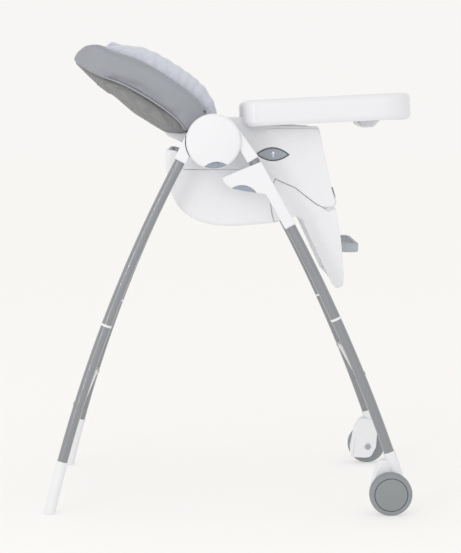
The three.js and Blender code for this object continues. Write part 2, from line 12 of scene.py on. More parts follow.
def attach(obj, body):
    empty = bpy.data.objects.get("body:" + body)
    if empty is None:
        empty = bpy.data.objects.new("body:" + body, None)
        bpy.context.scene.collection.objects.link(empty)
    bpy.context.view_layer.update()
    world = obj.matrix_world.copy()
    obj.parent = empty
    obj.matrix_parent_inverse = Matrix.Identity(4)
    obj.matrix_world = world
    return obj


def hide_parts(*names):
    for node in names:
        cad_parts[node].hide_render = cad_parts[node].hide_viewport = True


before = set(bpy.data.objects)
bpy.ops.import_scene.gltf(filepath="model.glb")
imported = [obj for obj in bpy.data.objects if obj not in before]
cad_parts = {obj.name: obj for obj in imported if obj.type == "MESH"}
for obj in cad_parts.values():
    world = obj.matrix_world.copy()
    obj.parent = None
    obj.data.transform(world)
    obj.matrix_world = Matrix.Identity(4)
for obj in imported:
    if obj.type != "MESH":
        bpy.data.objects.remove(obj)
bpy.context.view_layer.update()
MM = 0.001

# ------------------------------------------------------------------ driving sizes, millimetres
LEG_Y = 260
TUBE_R = 11.2
HALF_ARM = 13.5
ARM_INNER, ARM_OUTER = 246.5, 275.5
HUB = Vector((-31, 803))
HUB_R = 58.5
HUB_SPLIT = 260.5
WHEEL = Vector((350, 46))
WHEEL_R = 46
WHEEL_INNER, WHEEL_OUTER = 269.4, 295.5
SEAT_HALF = 200
SIDE_INNER = 192
CHEEK_INNER, CHEEK_OUTER = 187.5, 197
SEAT_ROOM_HALF = 182
SEAM_Z = 741
KNEE = Vector((221, 672))
KNUCKLE_R = 12
CALF_SWEEP_R = 128
HOOD_R = 21.5
RECLINE_AXIS = Vector((-75, 750))
TRAY_TILT = radians(2.8)
TRAY_HALF = 250
TRAY_REAR, TRAY_FRONT = 31, 394
TRAY_LOW, TRAY_TOP = 829, 889.5
TRAY_PIVOT = (TRAY_REAR, 889.3)
COVER_HEIGHT = 64
COVER_HALF = 174
PANEL_HALF = 165
LINER_HALF = 147
PAD_FLOOR = 26
SEAM = [[205, 660], [190, 668], [146, 702], [107, 719], [92, 730], [76, SEAM_Z]]


# ------------------------------------------------------------------ the legs' arcs
class Leg:
    """A bowed leg in the side elevation, an arc through its top and its floor end."""

    def __init__(self, top, foot, bow):
        top, foot = Vector(top), Vector(foot)
        chord = foot - top
        self.radius = (chord.length_squared / 4 + bow * bow) / (2 * bow)
        outward = Vector((-chord.y, chord.x)).normalized()
        if (outward.x > 0) != (chord.x > 0):
            outward = -outward
        self.centre = (top + foot) / 2 + outward * (bow - self.radius)
        self.ahead = 1 if chord.x > 0 else -1

    def at(self, z, offset=0):
        rise = z - self.centre.y
        run = self.ahead * sqrt(self.radius**2 - rise**2)
        out = Vector((run, rise)).normalized()
        return Vector((self.centre.x + run, z)) + out * offset

    def down(self, z):
        out = (self.at(z) - self.centre).normalized()
        return Vector((out.y, -out.x)) * self.ahead

    def turn(self, z):
        here = self.at(z) - self.centre
        return atan2(here.y, here.x) % (2 * pi) if self.ahead < 0 else atan2(here.y, here.x)


FRONT_LEG = Leg([31.2, 800], [352.5, 120], 19.9)
REAR_LEG = Leg([-81.1, 800], [-386.8, 0], 28.7)


# ------------------------------------------------------------------ modelling helpers
def point(x, y, z):
    return Vector((x, y, z)) * MM


def deselect():
    if bpy.context.object and bpy.context.object.mode != "OBJECT":
        bpy.ops.object.mode_set(mode="OBJECT")
    bpy.ops.object.select_all(action="DESELECT")


def take(piece):
    deselect()
    piece.select_set(True)
    bpy.context.view_layer.objects.active = piece


def edit(piece):
    take(piece)
    bpy.ops.object.mode_set(mode="EDIT")


def pick(piece, kind, test):
    """In edit mode, selects only the vertices, edges or faces that pass the test."""
    bpy.ops.mesh.select_mode(type=kind)
    bpy.ops.mesh.select_all(action="DESELECT")
    mesh = bmesh.from_edit_mesh(piece.data)
    for item in {"VERT": mesh.verts, "EDGE": mesh.edges, "FACE": mesh.faces}[kind]:
        if test(item):
            item.select_set(True)
    mesh.select_flush_mode()
    bmesh.update_edit_mesh(piece.data)


DOUBLES = 0.02 * MM


def close(piece):
    """Leaves edit mode with doubles merged, faces outward and the place in the mesh."""
    bpy.ops.mesh.select_all(action="SELECT")
    bpy.ops.mesh.remove_doubles(threshold=DOUBLES)
    bpy.ops.mesh.normals_make_consistent(inside=False)
    take(piece)
    bpy.ops.object.transform_apply(location=True, rotation=True, scale=True)
    return piece


def draw_line(name, points):
    """A vertex extruded from point to point. It stays in edit mode."""
    deselect()
    bpy.ops.mesh.primitive_plane_add(size=MM, location=points[0])
    piece = bpy.context.object
    piece.name = name
    bpy.ops.object.mode_set(mode="EDIT")
    bpy.ops.mesh.select_mode(type="VERT")
    bpy.ops.mesh.select_all(action="SELECT")
    bpy.ops.mesh.merge(type="CENTER")
    for here, there in zip(points, points[1:]):
        bpy.ops.mesh.extrude_region_move(TRANSFORM_OT_translate={"value": there - here})
    return piece


def extrude_outline(name, points, along):
    piece = draw_line(name, points)
    bpy.ops.mesh.select_all(action="SELECT")
    bpy.ops.mesh.edge_face_add()
    bpy.ops.mesh.extrude_region_move(TRANSFORM_OT_translate={"value": along})
    return close(piece)


def rounded(corners, steps=5):
    """Outline points from corners [x, z, rounding radius]."""
    points = [Vector(c[:2]) for c in corners]
    made = []
    for i, corner in enumerate(corners):
        here = points[i]
        back = points[i - 1] - here
        on = points[(i + 1) % len(points)] - here
        radius = corner[2] if len(corner) > 2 else 0
        if radius == 0:
            made.append(here)
            continue
        half = acos(max(-1, min(1, back.dot(on) / back.length / on.length))) / 2
        reach = min(radius / tan(half), back.length * 0.48, on.length * 0.48)
        start = here + back.normalized() * reach
        end = here + on.normalized() * reach
        for k in range(steps + 1):
            t = k / steps
            made.append(start * (1 - t) ** 2 + here * 2 * t * (1 - t) + end * t * t)
    return made


def glide(points, k, w):
    """A point on a smooth curve through the given ones, a share w of the way from point k."""
    last = len(points) - 1
    p0, p1, p2, p3 = (points[max(0, min(last, k + step))] for step in (-1, 0, 1, 2))
    v0, v1 = (p2 - p0) / 2, (p3 - p1) / 2
    return (2 * p1 - 2 * p2 + v0 + v1) * w**3 + (3 * p2 - 3 * p1 - 2 * v0 - v1) * w**2 + v0 * w + p1


def through(points, steps=5):
    """A smooth run of points that passes through the given ones."""
    points = [Vector(p) for p in points]
    run = [glide(points, k, step / steps) for k in range(len(points) - 1) for step in range(steps)]
    return run + points[-1:]


def slab(name, outline, near, far):
    """A side-elevation outline made solid between two distances out on the right-hand side."""
    points = [point(x, -near, z) for x, z in outline]
    return extrude_outline(name, points, (0, (near - far) * MM, 0))


def plate(name, outline, low, high):
    """A plan outline made solid between two heights."""
    points = [point(x, y, low) for x, y in outline]
    return extrude_outline(name, points, (0, 0, (high - low) * MM))


def turned(name, centre, profile, steps=72):
    """A turned piece: profile is [radius, distance out], on the right-hand side."""
    points = [point(centre.x + radius, -out, centre.y) for radius, out in profile]
    piece = draw_line(name, points)
    bpy.ops.mesh.select_all(action="SELECT")
    axis_point = point(centre.x, 0, centre.y)
    bpy.ops.mesh.spin(steps=steps, angle=2 * pi, center=axis_point, axis=(0, 1, 0))
    return close(piece)


def along_leg(name, leg, top, end, radius, sides=40, steps=24):
    """A round bar bowed along a leg on the right-hand side."""
    start = leg.at(top)
    down = leg.down(top)
    deselect()
    bpy.ops.mesh.primitive_circle_add(
        vertices=sides,
        radius=radius * MM,
        location=point(start.x, -LEG_Y, start.y),
        rotation=(0, atan2(-down.x, -down.y), 0),
    )
    piece = bpy.context.object
    piece.name = name
    bpy.ops.object.mode_set(mode="EDIT")
    bpy.ops.mesh.select_all(action="SELECT")
    bpy.ops.mesh.spin(
        steps=steps,
        angle=leg.turn(end) - leg.turn(top),
        center=point(leg.centre.x, -LEG_Y, leg.centre.y),
        axis=(0, 1, 0),
    )
    bpy.ops.mesh.select_all(action="SELECT")
    bpy.ops.mesh.remove_doubles(threshold=DOUBLES)
    pick(piece, "EDGE", lambda edge: edge.is_boundary)
    bpy.ops.mesh.fill_holes(sides=0)
    return close(piece)


def apply(piece, kind, **settings):
    take(piece)
    made = piece.modifiers.new(kind.lower(), kind)
    for name, value in settings.items():
        setattr(made, name, value)
    bpy.ops.object.modifier_apply(modifier=made.name)
    return piece


def soften(piece, width, segments=3, angle=32):
    """Rounds the edges that turn by more than an angle in degrees."""
    return apply(
        piece,
        "BEVEL",
        width=width * MM,
        segments=segments,
        limit_method="ANGLE",
        angle_limit=radians(angle),
        use_clamp_overlap=False,
    )


def carve(piece, tool, operation="DIFFERENCE"):
    apply(piece, "BOOLEAN", operation=operation, object=tool, solver="EXACT")
    bpy.data.objects.remove(tool)
    return piece


def level(edge, z):
    """Whether an edge lies flat at a height in millimetres."""
    return all(abs(vertex.co.z - z * MM) < 0.1 * MM for vertex in edge.verts)


def bevel_edges(piece, test, width, segments=4):
    edit(piece)
    pick(piece, "EDGE", test)
    bpy.ops.mesh.bevel(offset=width * MM, segments=segments, affect="EDGES", clamp_overlap=False)
    return close(piece)


def tilt(piece, angle, about):
    """Turns a piece in the side elevation about a point, tipping +X up."""
    edit(piece)
    bpy.ops.mesh.select_all(action="SELECT")
    mesh = bmesh.from_edit_mesh(piece.data)
    pivot = point(about[0], 0, about[1])
    bmesh.ops.rotate(mesh, cent=pivot, matrix=Matrix.Rotation(-angle, 3, "Y"), verts=mesh.verts)
    bmesh.update_edit_mesh(piece.data)
    return close(piece)


def smooth_shade(piece, angle=40):
    take(piece)
    bpy.ops.object.shade_smooth_by_angle(angle=radians(angle))
    apply(piece, "WEIGHTED_NORMAL", keep_sharp=True, weight=60)
    return piece


def dress(piece, material, body, slot, *nodes):
    """Gives a piece its finish, the body it rides on and the CAD nodes it stands for."""
    piece.data.materials.clear()
    piece.data.materials.append(material)
    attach(piece, body)
    if nodes:
        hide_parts(*nodes)
    return piece


def other_side(piece, name):
    copy = bpy.data.objects.new(name, piece.data.copy())
    bpy.context.collection.objects.link(copy)
    copy.scale.y = -1
    edit(copy)
    bpy.ops.object.mode_set(mode="OBJECT")
    bpy.ops.object.transform_apply(location=True, rotation=True, scale=True)
    edit(copy)
    return close(copy)


def pair(piece, material, body, slot, node=None):
    """A right-hand piece and its mirror image, each riding on its own side's body."""
    stem = piece.name
    piece.name = stem + "_right"
    sides = {"right": piece, "left": other_side(piece, stem + "_left")}
    for side, made in sides.items():
        smooth_shade(made)
        stands_for = [f"{node}_{side}"] if node else []
        dress(made, material, body.replace("SIDE", side), slot, *stands_for)
    return sides


def single(piece, material, body, slot, *nodes):
    smooth_shade(piece)
    return dress(piece, material, body, slot, *nodes)


# ------------------------------------------------------------------ materials
def linear(hex_colour):
    """A linear colour from an sRGB hex value."""
    channels = [int(hex_colour[i : i + 2], 16) / 255 for i in (1, 3, 5)]
    flat = [c / 12.92 if c <= 0.04045 else ((c + 0.055) / 1.055) ** 2.4 for c in channels]
    return (*flat, 1)


def per_mm(size):
    """The texture scale, per metre, of a pattern whose parts are this many millimetres."""
    return 1 / (size * MM)


def add_node(tree, kind, inputs, **settings):
    """Adds a node, sets its options, and gives each input a value or a link."""
    made = tree.nodes.new(kind)
    for name, value in settings.items():
        setattr(made, name, value)
    for socket, source in inputs.items():
        if isinstance(source, bpy.types.NodeSocket):
            tree.links.new(source, made.inputs[socket])
        else:
            made.inputs[socket].default_value = source
    return made


def new_material(name, colour):
    material = bpy.data.materials.new(name)
    material.use_nodes = True
    material.diffuse_color = linear(colour)
    tree = material.node_tree
    tree.nodes.clear()
    return material, tree, tree.nodes.new("ShaderNodeTexCoord").outputs["Object"]


def moulded(name, colour, shade, roughness, grain, depth, gloss=0.0, drift=60):
    """Injection-moulded plastic: a fine spark-eroded grain, and colour and gloss that drift a little."""
    material, tree, where = new_material(name, colour)
    patches = add_node(
        tree, "ShaderNodeTexNoise", {"Vector": where, "Scale": per_mm(drift), "Detail": 3.0}
    )
    tint = add_node(
        tree,
        "ShaderNodeMix",
        {0: patches.outputs["Fac"], 6: linear(colour), 7: linear(shade)},
        data_type="RGBA",
    )
    satin = add_node(
        tree,
        "ShaderNodeMapRange",
        {"Value": patches.outputs["Fac"], "To Min": roughness - 0.04, "To Max": roughness + 0.05},
    )
    texture = add_node(
        tree, "ShaderNodeTexNoise", {"Vector": where, "Scale": per_mm(grain), "Detail": 2.0}
    )
    bump = add_node(
        tree,
        "ShaderNodeBump",
        {"Height": texture.outputs["Fac"], "Distance": depth * MM, "Strength": 0.5},
    )
    shader = add_node(
        tree,
        "ShaderNodeBsdfPrincipled",
        {
            "Base Color": tint.outputs[2],
            "Roughness": satin.outputs["Result"],
            "Normal": bump.outputs["Normal"],
            "IOR": 1.5,
            "Coat Weight": gloss,
            "Coat Roughness": 0.15,
        },
    )
    add_node(tree, "ShaderNodeOutputMaterial", {"Surface": shader.outputs["BSDF"]})
    return material


def metal(name, colour, shade, roughness, metallic, streak, coat=0.0):
    """Painted or plated steel, whose finish drifts in long streaks up the tube."""
    material, tree, where = new_material(name, colour)
    stretched = add_node(tree, "ShaderNodeMapping", {"Vector": where, "Scale": (1, 1, 0.08)})
    streaks = add_node(
        tree,
        "ShaderNodeTexNoise",
        {"Vector": stretched.outputs["Vector"], "Scale": per_mm(streak), "Detail": 4.0},
    )
    tint = add_node(
        tree,
        "ShaderNodeMix",
        {0: streaks.outputs["Fac"], 6: linear(colour), 7: linear(shade)},
        data_type="RGBA",
    )
    satin = add_node(
        tree,
        "ShaderNodeMapRange",
        {"Value": streaks.outputs["Fac"], "To Min": roughness - 0.04, "To Max": roughness + 0.06},
    )
    bump = add_node(
        tree,
        "ShaderNodeBump",
        {"Height": streaks.outputs["Fac"], "Distance": 0.02 * MM, "Strength": 0.3},
    )
    shader = add_node(
        tree,
        "ShaderNodeBsdfPrincipled",
        {
            "Base Color": tint.outputs[2],
            "Roughness": satin.outputs["Result"],
            "Metallic": metallic,
            "Normal": bump.outputs["Normal"],
            "Coat Weight": coat,
            "Coat Roughness": 0.06,
        },
    )
    add_node(tree, "ShaderNodeOutputMaterial", {"Surface": shader.outputs["BSDF"]})
    return material


# a wave texture of scale 1 has bands this far apart
BAND = pi / 10


def cloth(name, colour, shade, thread, roughness, sheen, depth, crumple):
    """Woven cloth: crossed threads, a soft sheen, and shallow crumples across them.

    The threads are drawn about three times as coarse as real ones, so that they show."""
    material, tree, where = new_material(name, colour)
    weft = add_node(
        tree,
        "ShaderNodeTexWave",
        {"Vector": where, "Scale": per_mm(thread) * BAND, "Distortion": 0.6, "Detail": 1.0},
        bands_direction="Y",
    )
    warp = add_node(
        tree,
        "ShaderNodeTexWave",
        {"Vector": where, "Scale": per_mm(thread) * BAND, "Distortion": 0.6, "Detail": 1.0},
        bands_direction="DIAGONAL",
    )
    weave = add_node(
        tree,
        "ShaderNodeMath",
        {0: weft.outputs["Fac"], 1: warp.outputs["Fac"]},
        operation="MULTIPLY",
    )
    folds = add_node(
        tree, "ShaderNodeTexNoise", {"Vector": where, "Scale": per_mm(crumple), "Detail": 3.0}
    )
    height = add_node(
        tree,
        "ShaderNodeMath",
        {0: folds.outputs["Fac"], 1: 4.0, 2: weave.outputs["Value"]},
        operation="MULTIPLY_ADD",
    )
    tint = add_node(
        tree,
        "ShaderNodeMix",
        {0: weave.outputs["Value"], 6: linear(shade), 7: linear(colour)},
        data_type="RGBA",
    )
    bump = add_node(
        tree,
        "ShaderNodeBump",
        {"Height": height.outputs["Value"], "Distance": depth * MM, "Strength": 0.6},
    )
    shader = add_node(
        tree,
        "ShaderNodeBsdfPrincipled",
        {
            "Base Color": tint.outputs[2],
            "Roughness": roughness,
            "Normal": bump.outputs["Normal"],
            "IOR": 1.5,
            "Sheen Weight": sheen,
            "Sheen Roughness": 0.5,
        },
    )
    add_node(tree, "ShaderNodeOutputMaterial", {"Surface": shader.outputs["BSDF"]})
    return material


def leatherette(name, colour, shade, pebble, roughness):
    """Coated cloth: small rounded pebbles pressed into a soft skin, with a dull shine.

    The pebbles are drawn about twice as coarse as real ones, so that they show."""
    material, tree, where = new_material(name, colour)
    patch = 45
    cells = add_node(
        tree,
        "ShaderNodeTexVoronoi",
        {"Vector": where, "Scale": per_mm(pebble)},
        feature="SMOOTH_F1",
    )
    patches = add_node(
        tree, "ShaderNodeTexNoise", {"Vector": where, "Scale": per_mm(patch), "Detail": 2.0}
    )
    tint = add_node(
        tree,
        "ShaderNodeMix",
        {0: patches.outputs["Fac"], 6: linear(colour), 7: linear(shade)},
        data_type="RGBA",
    )
    dull = add_node(
        tree,
        "ShaderNodeMapRange",
        {"Value": cells.outputs["Distance"], "To Min": roughness - 0.06, "To Max": roughness + 0.08},
    )
    bump = add_node(
        tree,
        "ShaderNodeBump",
        {"Height": cells.outputs["Distance"], "Distance": 0.25 * MM, "Strength": 0.45},
        invert=True,
    )
    shader = add_node(
        tree,
        "ShaderNodeBsdfPrincipled",
        {
            "Base Color": tint.outputs[2],
            "Roughness": dull.outputs["Result"],
            "Normal": bump.outputs["Normal"],
            "IOR": 1.48,
            "Sheen Weight": 0.08,
        },
    )
    add_node(tree, "ShaderNodeOutputMaterial", {"Surface": shader.outputs["BSDF"]})
    return material


# white ABS shells: bright, smooth, a satin shine that is a little uneven
WHITE_ABS = moulded("white_moulded_abs", "#E6E7EA", "#E2E3E7", 0.34, 0.9, 0.03, gloss=0.15)
# the tray: white polypropylene, a shade greyer than the shells and a little glossier
TRAY_WHITE = moulded("tray_white_polypropylene", "#E2E2E6", "#DEDEE2", 0.28, 1.2, 0.02, gloss=0.2)
# the fold and height buttons: blue-grey ABS with a fine matt grain
BUTTON_GREY = moulded("blue_grey_moulded_abs", "#939CAB", "#8A93A1", 0.42, 0.7, 0.05)
# the armrest buttons: the same plastic in a plainer grey
ARM_BUTTON_GREY = moulded("slate_grey_moulded_abs", "#A0A6B0", "#939AA5", 0.42, 0.7, 0.05)
# tyres: soft grey rubber, matt
TYRE_GREY = moulded("grey_tyre_rubber", "#8F9499", "#858A8F", 0.62, 0.8, 0.12)
# wheel caps: hard grey ABS, a little smoother than the tyres
CAP_GREY = moulded("wheel_cap_grey_abs", "#8B9092", "#84888B", 0.46, 0.8, 0.05)
# dark trim, charcoal nylon: the recline handle, buckle and zip stops; the rims round the armrest buttons
# made of it are painted shadow, a dark ring where the gap round each button lies in shade
DARK_TRIM_AND_SHADOW = moulded("charcoal_nylon_and_painted_shadow", "#5A5A5E", "#4C4C50", 0.5, 0.6, 0.08)
# the crescent buttons beside the knees: mid-grey nylon with a matt grain
CRESCENT_GREY = moulded("mid_grey_moulded_nylon", "#7E7F81", "#747577", 0.5, 0.6, 0.08)
# the footrest's grip: grey thermoplastic rubber with a visible grain
FOOTREST_GREY = moulded("footrest_grey_elastomer", "#B0B6BA", "#A6ADB2", 0.55, 1.6, 0.15)
# the armrest arrow: white pad-printed ink, flat and slightly bluish
WHITE_PRINT = moulded("white_pad_print", "#EDEFF3", "#E6E9EE", 0.5, 0.5, 0.01)
# legs: steel tube with a silver-grey powder coat that keeps a long bright highlight
LEG_PAINT = metal("silver_grey_powder_coat", "#898C91", "#808388", 0.3, 0.25, 9, coat=1.0)
# axles, pins and a spring button: zinc-plated steel, bright with a cold tint
PLATED_STEEL = metal("zinc_plated_steel", "#B4B9BF", "#A3A9B0", 0.28, 1.0, 6)
# the back's outer cover: grey coated cloth with a dull shine
COVER_GREY = leatherette("grey_coated_cloth", "#999CA3", "#8F9299", 2.2, 0.5)
# the panel stretched behind the back: darker woven polyester, matt
PANEL_CLOTH = cloth("dark_grey_woven_polyester", "#959595", "#808081", 1.8, 0.8, 0.15, 0.12, 30)
# the piping between them: cord wrapped in lighter grey cloth
PIPING_GREY = cloth("grey_piping_cloth", "#A9ACB3", "#8F9299", 1.4, 0.7, 0.1, 0.08, 20)
# the liner: pale, slightly bluish brushed cotton with soft crumples
LINER = cloth("pale_brushed_cotton", "#D2D5DF", "#C2C5D0", 1.6, 0.9, 0.35, 0.1, 14)
# harness webbing: flat mid-grey polyester with a plain weave
WEBBING = cloth("grey_polyester_webbing", "#8C8F96", "#71747B", 1.5, 0.8, 0.1, 0.15, 12)

# ------------------------------------------------------------------ legs, feet and collars
FRONT_COLLAR_Z = 423
REAR_COLLAR_Z = 410
FRONT_END_Z = 112
REAR_END_Z = 114
FRONT_CROSS_Z = 300
REAR_CROSS_Z = 236
JOINT_GAP = 2.1
RING_HALF = 2.4

for leg, stem, body, top, collar_z, end in (
    (FRONT_LEG, "front", "frame", 781, FRONT_COLLAR_Z, FRONT_END_Z),
    (REAR_LEG, "rear", "rear_legs", 776, REAR_COLLAR_Z, REAR_END_Z),
):
    upper = along_leg(f"{stem}_leg_upper", leg, top, collar_z + JOINT_GAP, TUBE_R)
    pair(upper, LEG_PAINT, body, "leg_tube", f"{stem}_upper_tube")
    lower = along_leg(f"{stem}_leg_lower", leg, collar_z - JOINT_GAP, end, TUBE_R)
    pair(lower, LEG_PAINT, body, "leg_tube", f"{stem}_lower_tube")
    ring = along_leg(f"{stem}_leg_ring", leg, collar_z + RING_HALF, collar_z - RING_HALF,
                     TUBE_R + 0.7, steps=3)
    pair(soften(ring, 0.6, 2, 50), WHITE_ABS, body, "white_shell", f"{stem}_collar")


def snap_button(name, leg, z):
    """A sprung button on the inner side of a leg tube."""
    middle = LEG_Y - TUBE_R
    profile = [[0, middle + 4], [4.4, middle + 4], [4.4, middle - 1.4], [3.6, middle - 2.6],
               [0, middle - 3]]
    return turned(name, leg.at(z), profile, 32)


SNAP_BUTTONS = (
    ("front_snap_button", FRONT_LEG, 486, PLATED_STEEL, "frame", "steel_pin"),
    ("front_stop_button", FRONT_LEG, 456, WHITE_ABS, "frame", "white_shell"),
    ("rear_snap_button", REAR_LEG, 436, DARK_TRIM_AND_SHADOW, "rear_legs", "dark_plastic"),
)
for name, leg, z, finish, body, slot in SNAP_BUTTONS:
    pair(snap_button(name, leg, z), finish, body, slot)


def cross_bar(name, leg, z):
    """A round bar between the legs, with a flared weld collar at each end."""
    half = [[9, 0], [9, 236], [9.6, 240], [12, 246], [12.6, 250], [0, 250]]
    profile = [[radius, -out] for radius, out in reversed(half)] + half[1:]
    return turned(name, leg.at(z), profile, 48)


single(cross_bar("front_cross_bar", FRONT_LEG, FRONT_CROSS_Z), LEG_PAINT, "frame", "leg_tube",
       "front_cross_tube")
single(cross_bar("rear_cross_bar", REAR_LEG, REAR_CROSS_Z), LEG_PAINT, "rear_legs", "leg_tube",
       "rear_cross_tube")


def rear_shoe():
    """The white shoe on a rear leg: a lipped sleeve cut flat on the floor."""
    shoe = along_leg("rear_shoe", REAR_LEG, REAR_END_Z, -16, TUBE_R + 0.8, steps=12)
    lip = along_leg("lip", REAR_LEG, REAR_END_Z + 1, REAR_END_Z - 6, TUBE_R + 1.5, steps=2)
    soften(lip, 1.1, 2, 50)
    carve(shoe, lip, "UNION")
    edit(shoe)
    bpy.ops.mesh.select_all(action="SELECT")
    bpy.ops.mesh.bisect(plane_co=(0, 0, 0), plane_no=(0, 0, 1), clear_inner=True, use_fill=True)
    close(shoe)
    return bevel_edges(shoe, lambda edge: level(edge, 0), 1.6, 3)


pair(rear_shoe(), WHITE_ABS, "rear_legs", "white_shell", "rear_foot")


# ------------------------------------------------------------------ wheels
def arc_points(centre_radius, centre_out, radius, start, end, steps=5):
    """Points of a rounded corner in a turned profile, from angle to angle in degrees."""
    angles = [radians(start + (end - start) * k / steps) for k in range(steps + 1)]
    return [[centre_radius + radius * cos(a), centre_out + radius * sin(a)] for a in angles]


def tyre():
    """The tyre and its rim, with rounded shoulders and a shallow seat for the wheel's face."""
    inner, outer = WHEEL_INNER, WHEEL_OUTER
    profile = [[4.4, inner]]
    profile += arc_points(WHEEL_R - 5, inner + 5, 5, -90, 0)
    profile += arc_points(WHEEL_R - 6, outer - 6, 6, 0, 90, 6)
    profile += [[36.6, outer - 0.1], [35.9, outer - 1.2], [35.9, outer - 5], [4.4, outer - 5]]
    return turned("wheel_tyre_ring", WHEEL, profile + [[4.4, inner]])


def wheel_face():
    """The slightly crowned cap in the wheel's face."""
    outer = WHEEL_OUTER
    profile = [[0, outer - 4.2], [35, outer - 4.2], [35, outer - 1.4]]
    profile += arc_points(33.6, outer - 1.4, 1.4, 0, 80, 4)
    profile += [[26, outer + 0.35], [16, outer + 0.7], [7, outer + 0.9], [0, outer + 0.95]]
    return turned("wheel_face", WHEEL, profile)


def wheel_fork():
    """The white bracket beside a wheel: a sleeve on the leg that spreads into a shield."""
    shield = rounded([[331, 118, 10], [364, 112, 16], [373, 80, 14], [371, 44, 18], [358, 19, 14],
                      [344, 17, 8], [309, 19, 5], [307, 46, 20], [317, 94, 22]])
    fork = soften(slab("wheel_fork", shield, 240, 268.2), 5, 4)
    sleeve = along_leg("sleeve", FRONT_LEG, FRONT_END_Z + 22, 80, HALF_ARM, steps=8)
    soften(sleeve, 1.2, 3, 50)
    return carve(fork, sleeve, "UNION")


pair(wheel_fork(), WHITE_ABS, "frame", "white_shell", "wheel_bracket")
axle = turned("wheel_bolt", WHEEL, [[0, 236], [3, 236.2], [3.2, 238], [6.6, 238], [7.6, 238.8],
                                    [7.6, 240.6], [3.8, 240.6], [3.8, 289], [0, 289]], 40)
pair(axle, PLATED_STEEL, "frame", "steel_pin", "wheel_axle")
pair(tyre(), TYRE_GREY, "wheel_SIDE", "wheel_grey", "wheel_tyre")
pair(wheel_face(), CAP_GREY, "wheel_SIDE", "wheel_cap", "wheel_cap")


# ------------------------------------------------------------------ folding hub
def lens(left, right, rise, sag, steps=12):
    """An outline of two shallow arcs between two tips."""
    left, right = Vector(left), Vector(right)
    up = Vector((left.y - right.y, right.x - left.x)).normalized()
    made = []
    for height, share in ((rise, range(steps)), (-sag, range(steps, 0, -1))):
        for k in share:
            t = k / steps
            made.append(left.lerp(right, t) + up * 4 * height * t * (1 - t))
    return made


def hub_outline(leg, end_z):
    """The hub's disc with an arm down one leg, its outer edge tangent to the disc."""
    outer = leg.at(end_z, HALF_ARM)
    inner = leg.at(end_z, -HALF_ARM)
    to_outer = outer - HUB
    tangent = atan2(to_outer.y, to_outer.x) + leg.ahead * acos(HUB_R / to_outer.length)
    along = leg.down(end_z)
    from_hub = inner - HUB
    across = from_hub.x * along.y - from_hub.y * along.x
    reach = from_hub.dot(along) - sqrt(HUB_R**2 - across**2)
    meet = from_hub - along * reach
    stop = atan2(meet.y, meet.x)
    sweep = (stop - tangent) % (2 * pi) if leg.ahead > 0 else -((tangent - stop) % (2 * pi))
    steps = 44
    turns = [tangent + sweep * k / steps for k in range(steps + 1)]
    return [outer] + [HUB + HUB_R * Vector((cos(turn), sin(turn))) for turn in turns] + [inner]


def hub_plate(name, leg, end_z, clear_near, clear_far):
    """Half of a hub, its disc cut away over the other half's share of the thickness."""
    plate_body = soften(slab(name, hub_outline(leg, end_z), ARM_INNER, ARM_OUTER), 2.6, 3)
    room = turned("room", HUB, [[0, clear_near], [HUB_R + 2, clear_near], [HUB_R + 2, clear_far],
                                [0, clear_far]], 72)
    return carve(plate_body, room)


COVER_BACK = ARM_OUTER + 0.4


def hub_dome_profile(lift=0.0, shrink=0.0):
    """The half profile of the shallow dome over a hub."""
    rim = HUB_R - shrink
    profile = [[0, COVER_BACK], [rim, COVER_BACK]]
    profile += arc_points(rim - 8, COVER_BACK + 0.8 + lift, 8, 0, 68, 8)
    profile += [[44, COVER_BACK + 9.9 + lift], [32, COVER_BACK + 11.3 + lift]]
    profile += [[18, COVER_BACK + 12.3 + lift], [0, COVER_BACK + 12.6 + lift]]
    return profile


def hub_cover():
    """The dome over a hub, cut through where the fold button shows."""
    dome = turned("hub_dome", HUB, hub_dome_profile(), 96)
    return carve(dome, slab("lens", lens([-52.4, 748.8], [3.4, 749.6], 11.4, 24), 270, 300))


def fold_lens():
    """The fold button: a lens-shaped piece whose face follows the dome."""
    slug = turned("fold_lens_button", HUB, hub_dome_profile(-0.7, 0.5), 96)
    keep = slab("lens", lens([-51.8, 748.6], [2.8, 749.4], 11, 24), COVER_BACK + 3.6, 300)
    return soften(carve(slug, keep, "INTERSECT"), 0.5, 2, 40)


pair(hub_plate("front_hub_plate", FRONT_LEG, 764, 235, HUB_SPLIT + 0.4), WHITE_ABS, "frame",
     "white_shell", "front_housing")
pair(hub_plate("rear_hub_plate", REAR_LEG, 761, HUB_SPLIT - 0.4, 290), WHITE_ABS, "rear_legs",
     "white_shell", "rear_housing")
pair(hub_cover(), WHITE_ABS, "frame", "white_shell", "hub_cover")
pair(fold_lens(), BUTTON_GREY, "fold_key_SIDE", "button_grey", "fold_button")
pin = turned("hub_bolt", HUB, [[0, 239], [6, 239.2], [11.6, 240.4], [13, 242], [13, 246], [7, 246],
                               [7, 275], [0, 275]], 48)
pair(pin, PLATED_STEEL, "frame", "steel_pin", "hub_pin")


# ------------------------------------------------------------------ seat height slider
SLIDER_END_Z = 622


def leg_bore():
    """The room that a front leg tube takes in the parts that slide on it."""
    return along_leg("bore", FRONT_LEG, 800, 580, TUBE_R + 0.5)


def height_slider():
    """A sleeve on the leg with a wing that carries the height button."""
    top = FRONT_LEG.at(754, HALF_ARM)
    low_out = FRONT_LEG.at(SLIDER_END_Z, HALF_ARM - 1)
    low_in = FRONT_LEG.at(SLIDER_END_Z, 1 - HALF_ARM)
    wing = rounded([[top.x, top.y, 6], [-14, 727, 6], [-8, 714, 6], [8, 702.6, 8], [34, 698.4, 20],
                    [60, 693.4, 10], [80, 691, 8], [*low_in, 4], [*low_out, 4]], 6)
    body = soften(slab("height_slider_sleeve", wing, ARM_INNER, 273.5), 3.2, 4)
    carve(body, leg_bore())
    return carve(body, slab("lens", lens([7.4, 704.4], [60.4, 695], 10.6, 8), 266, 280))


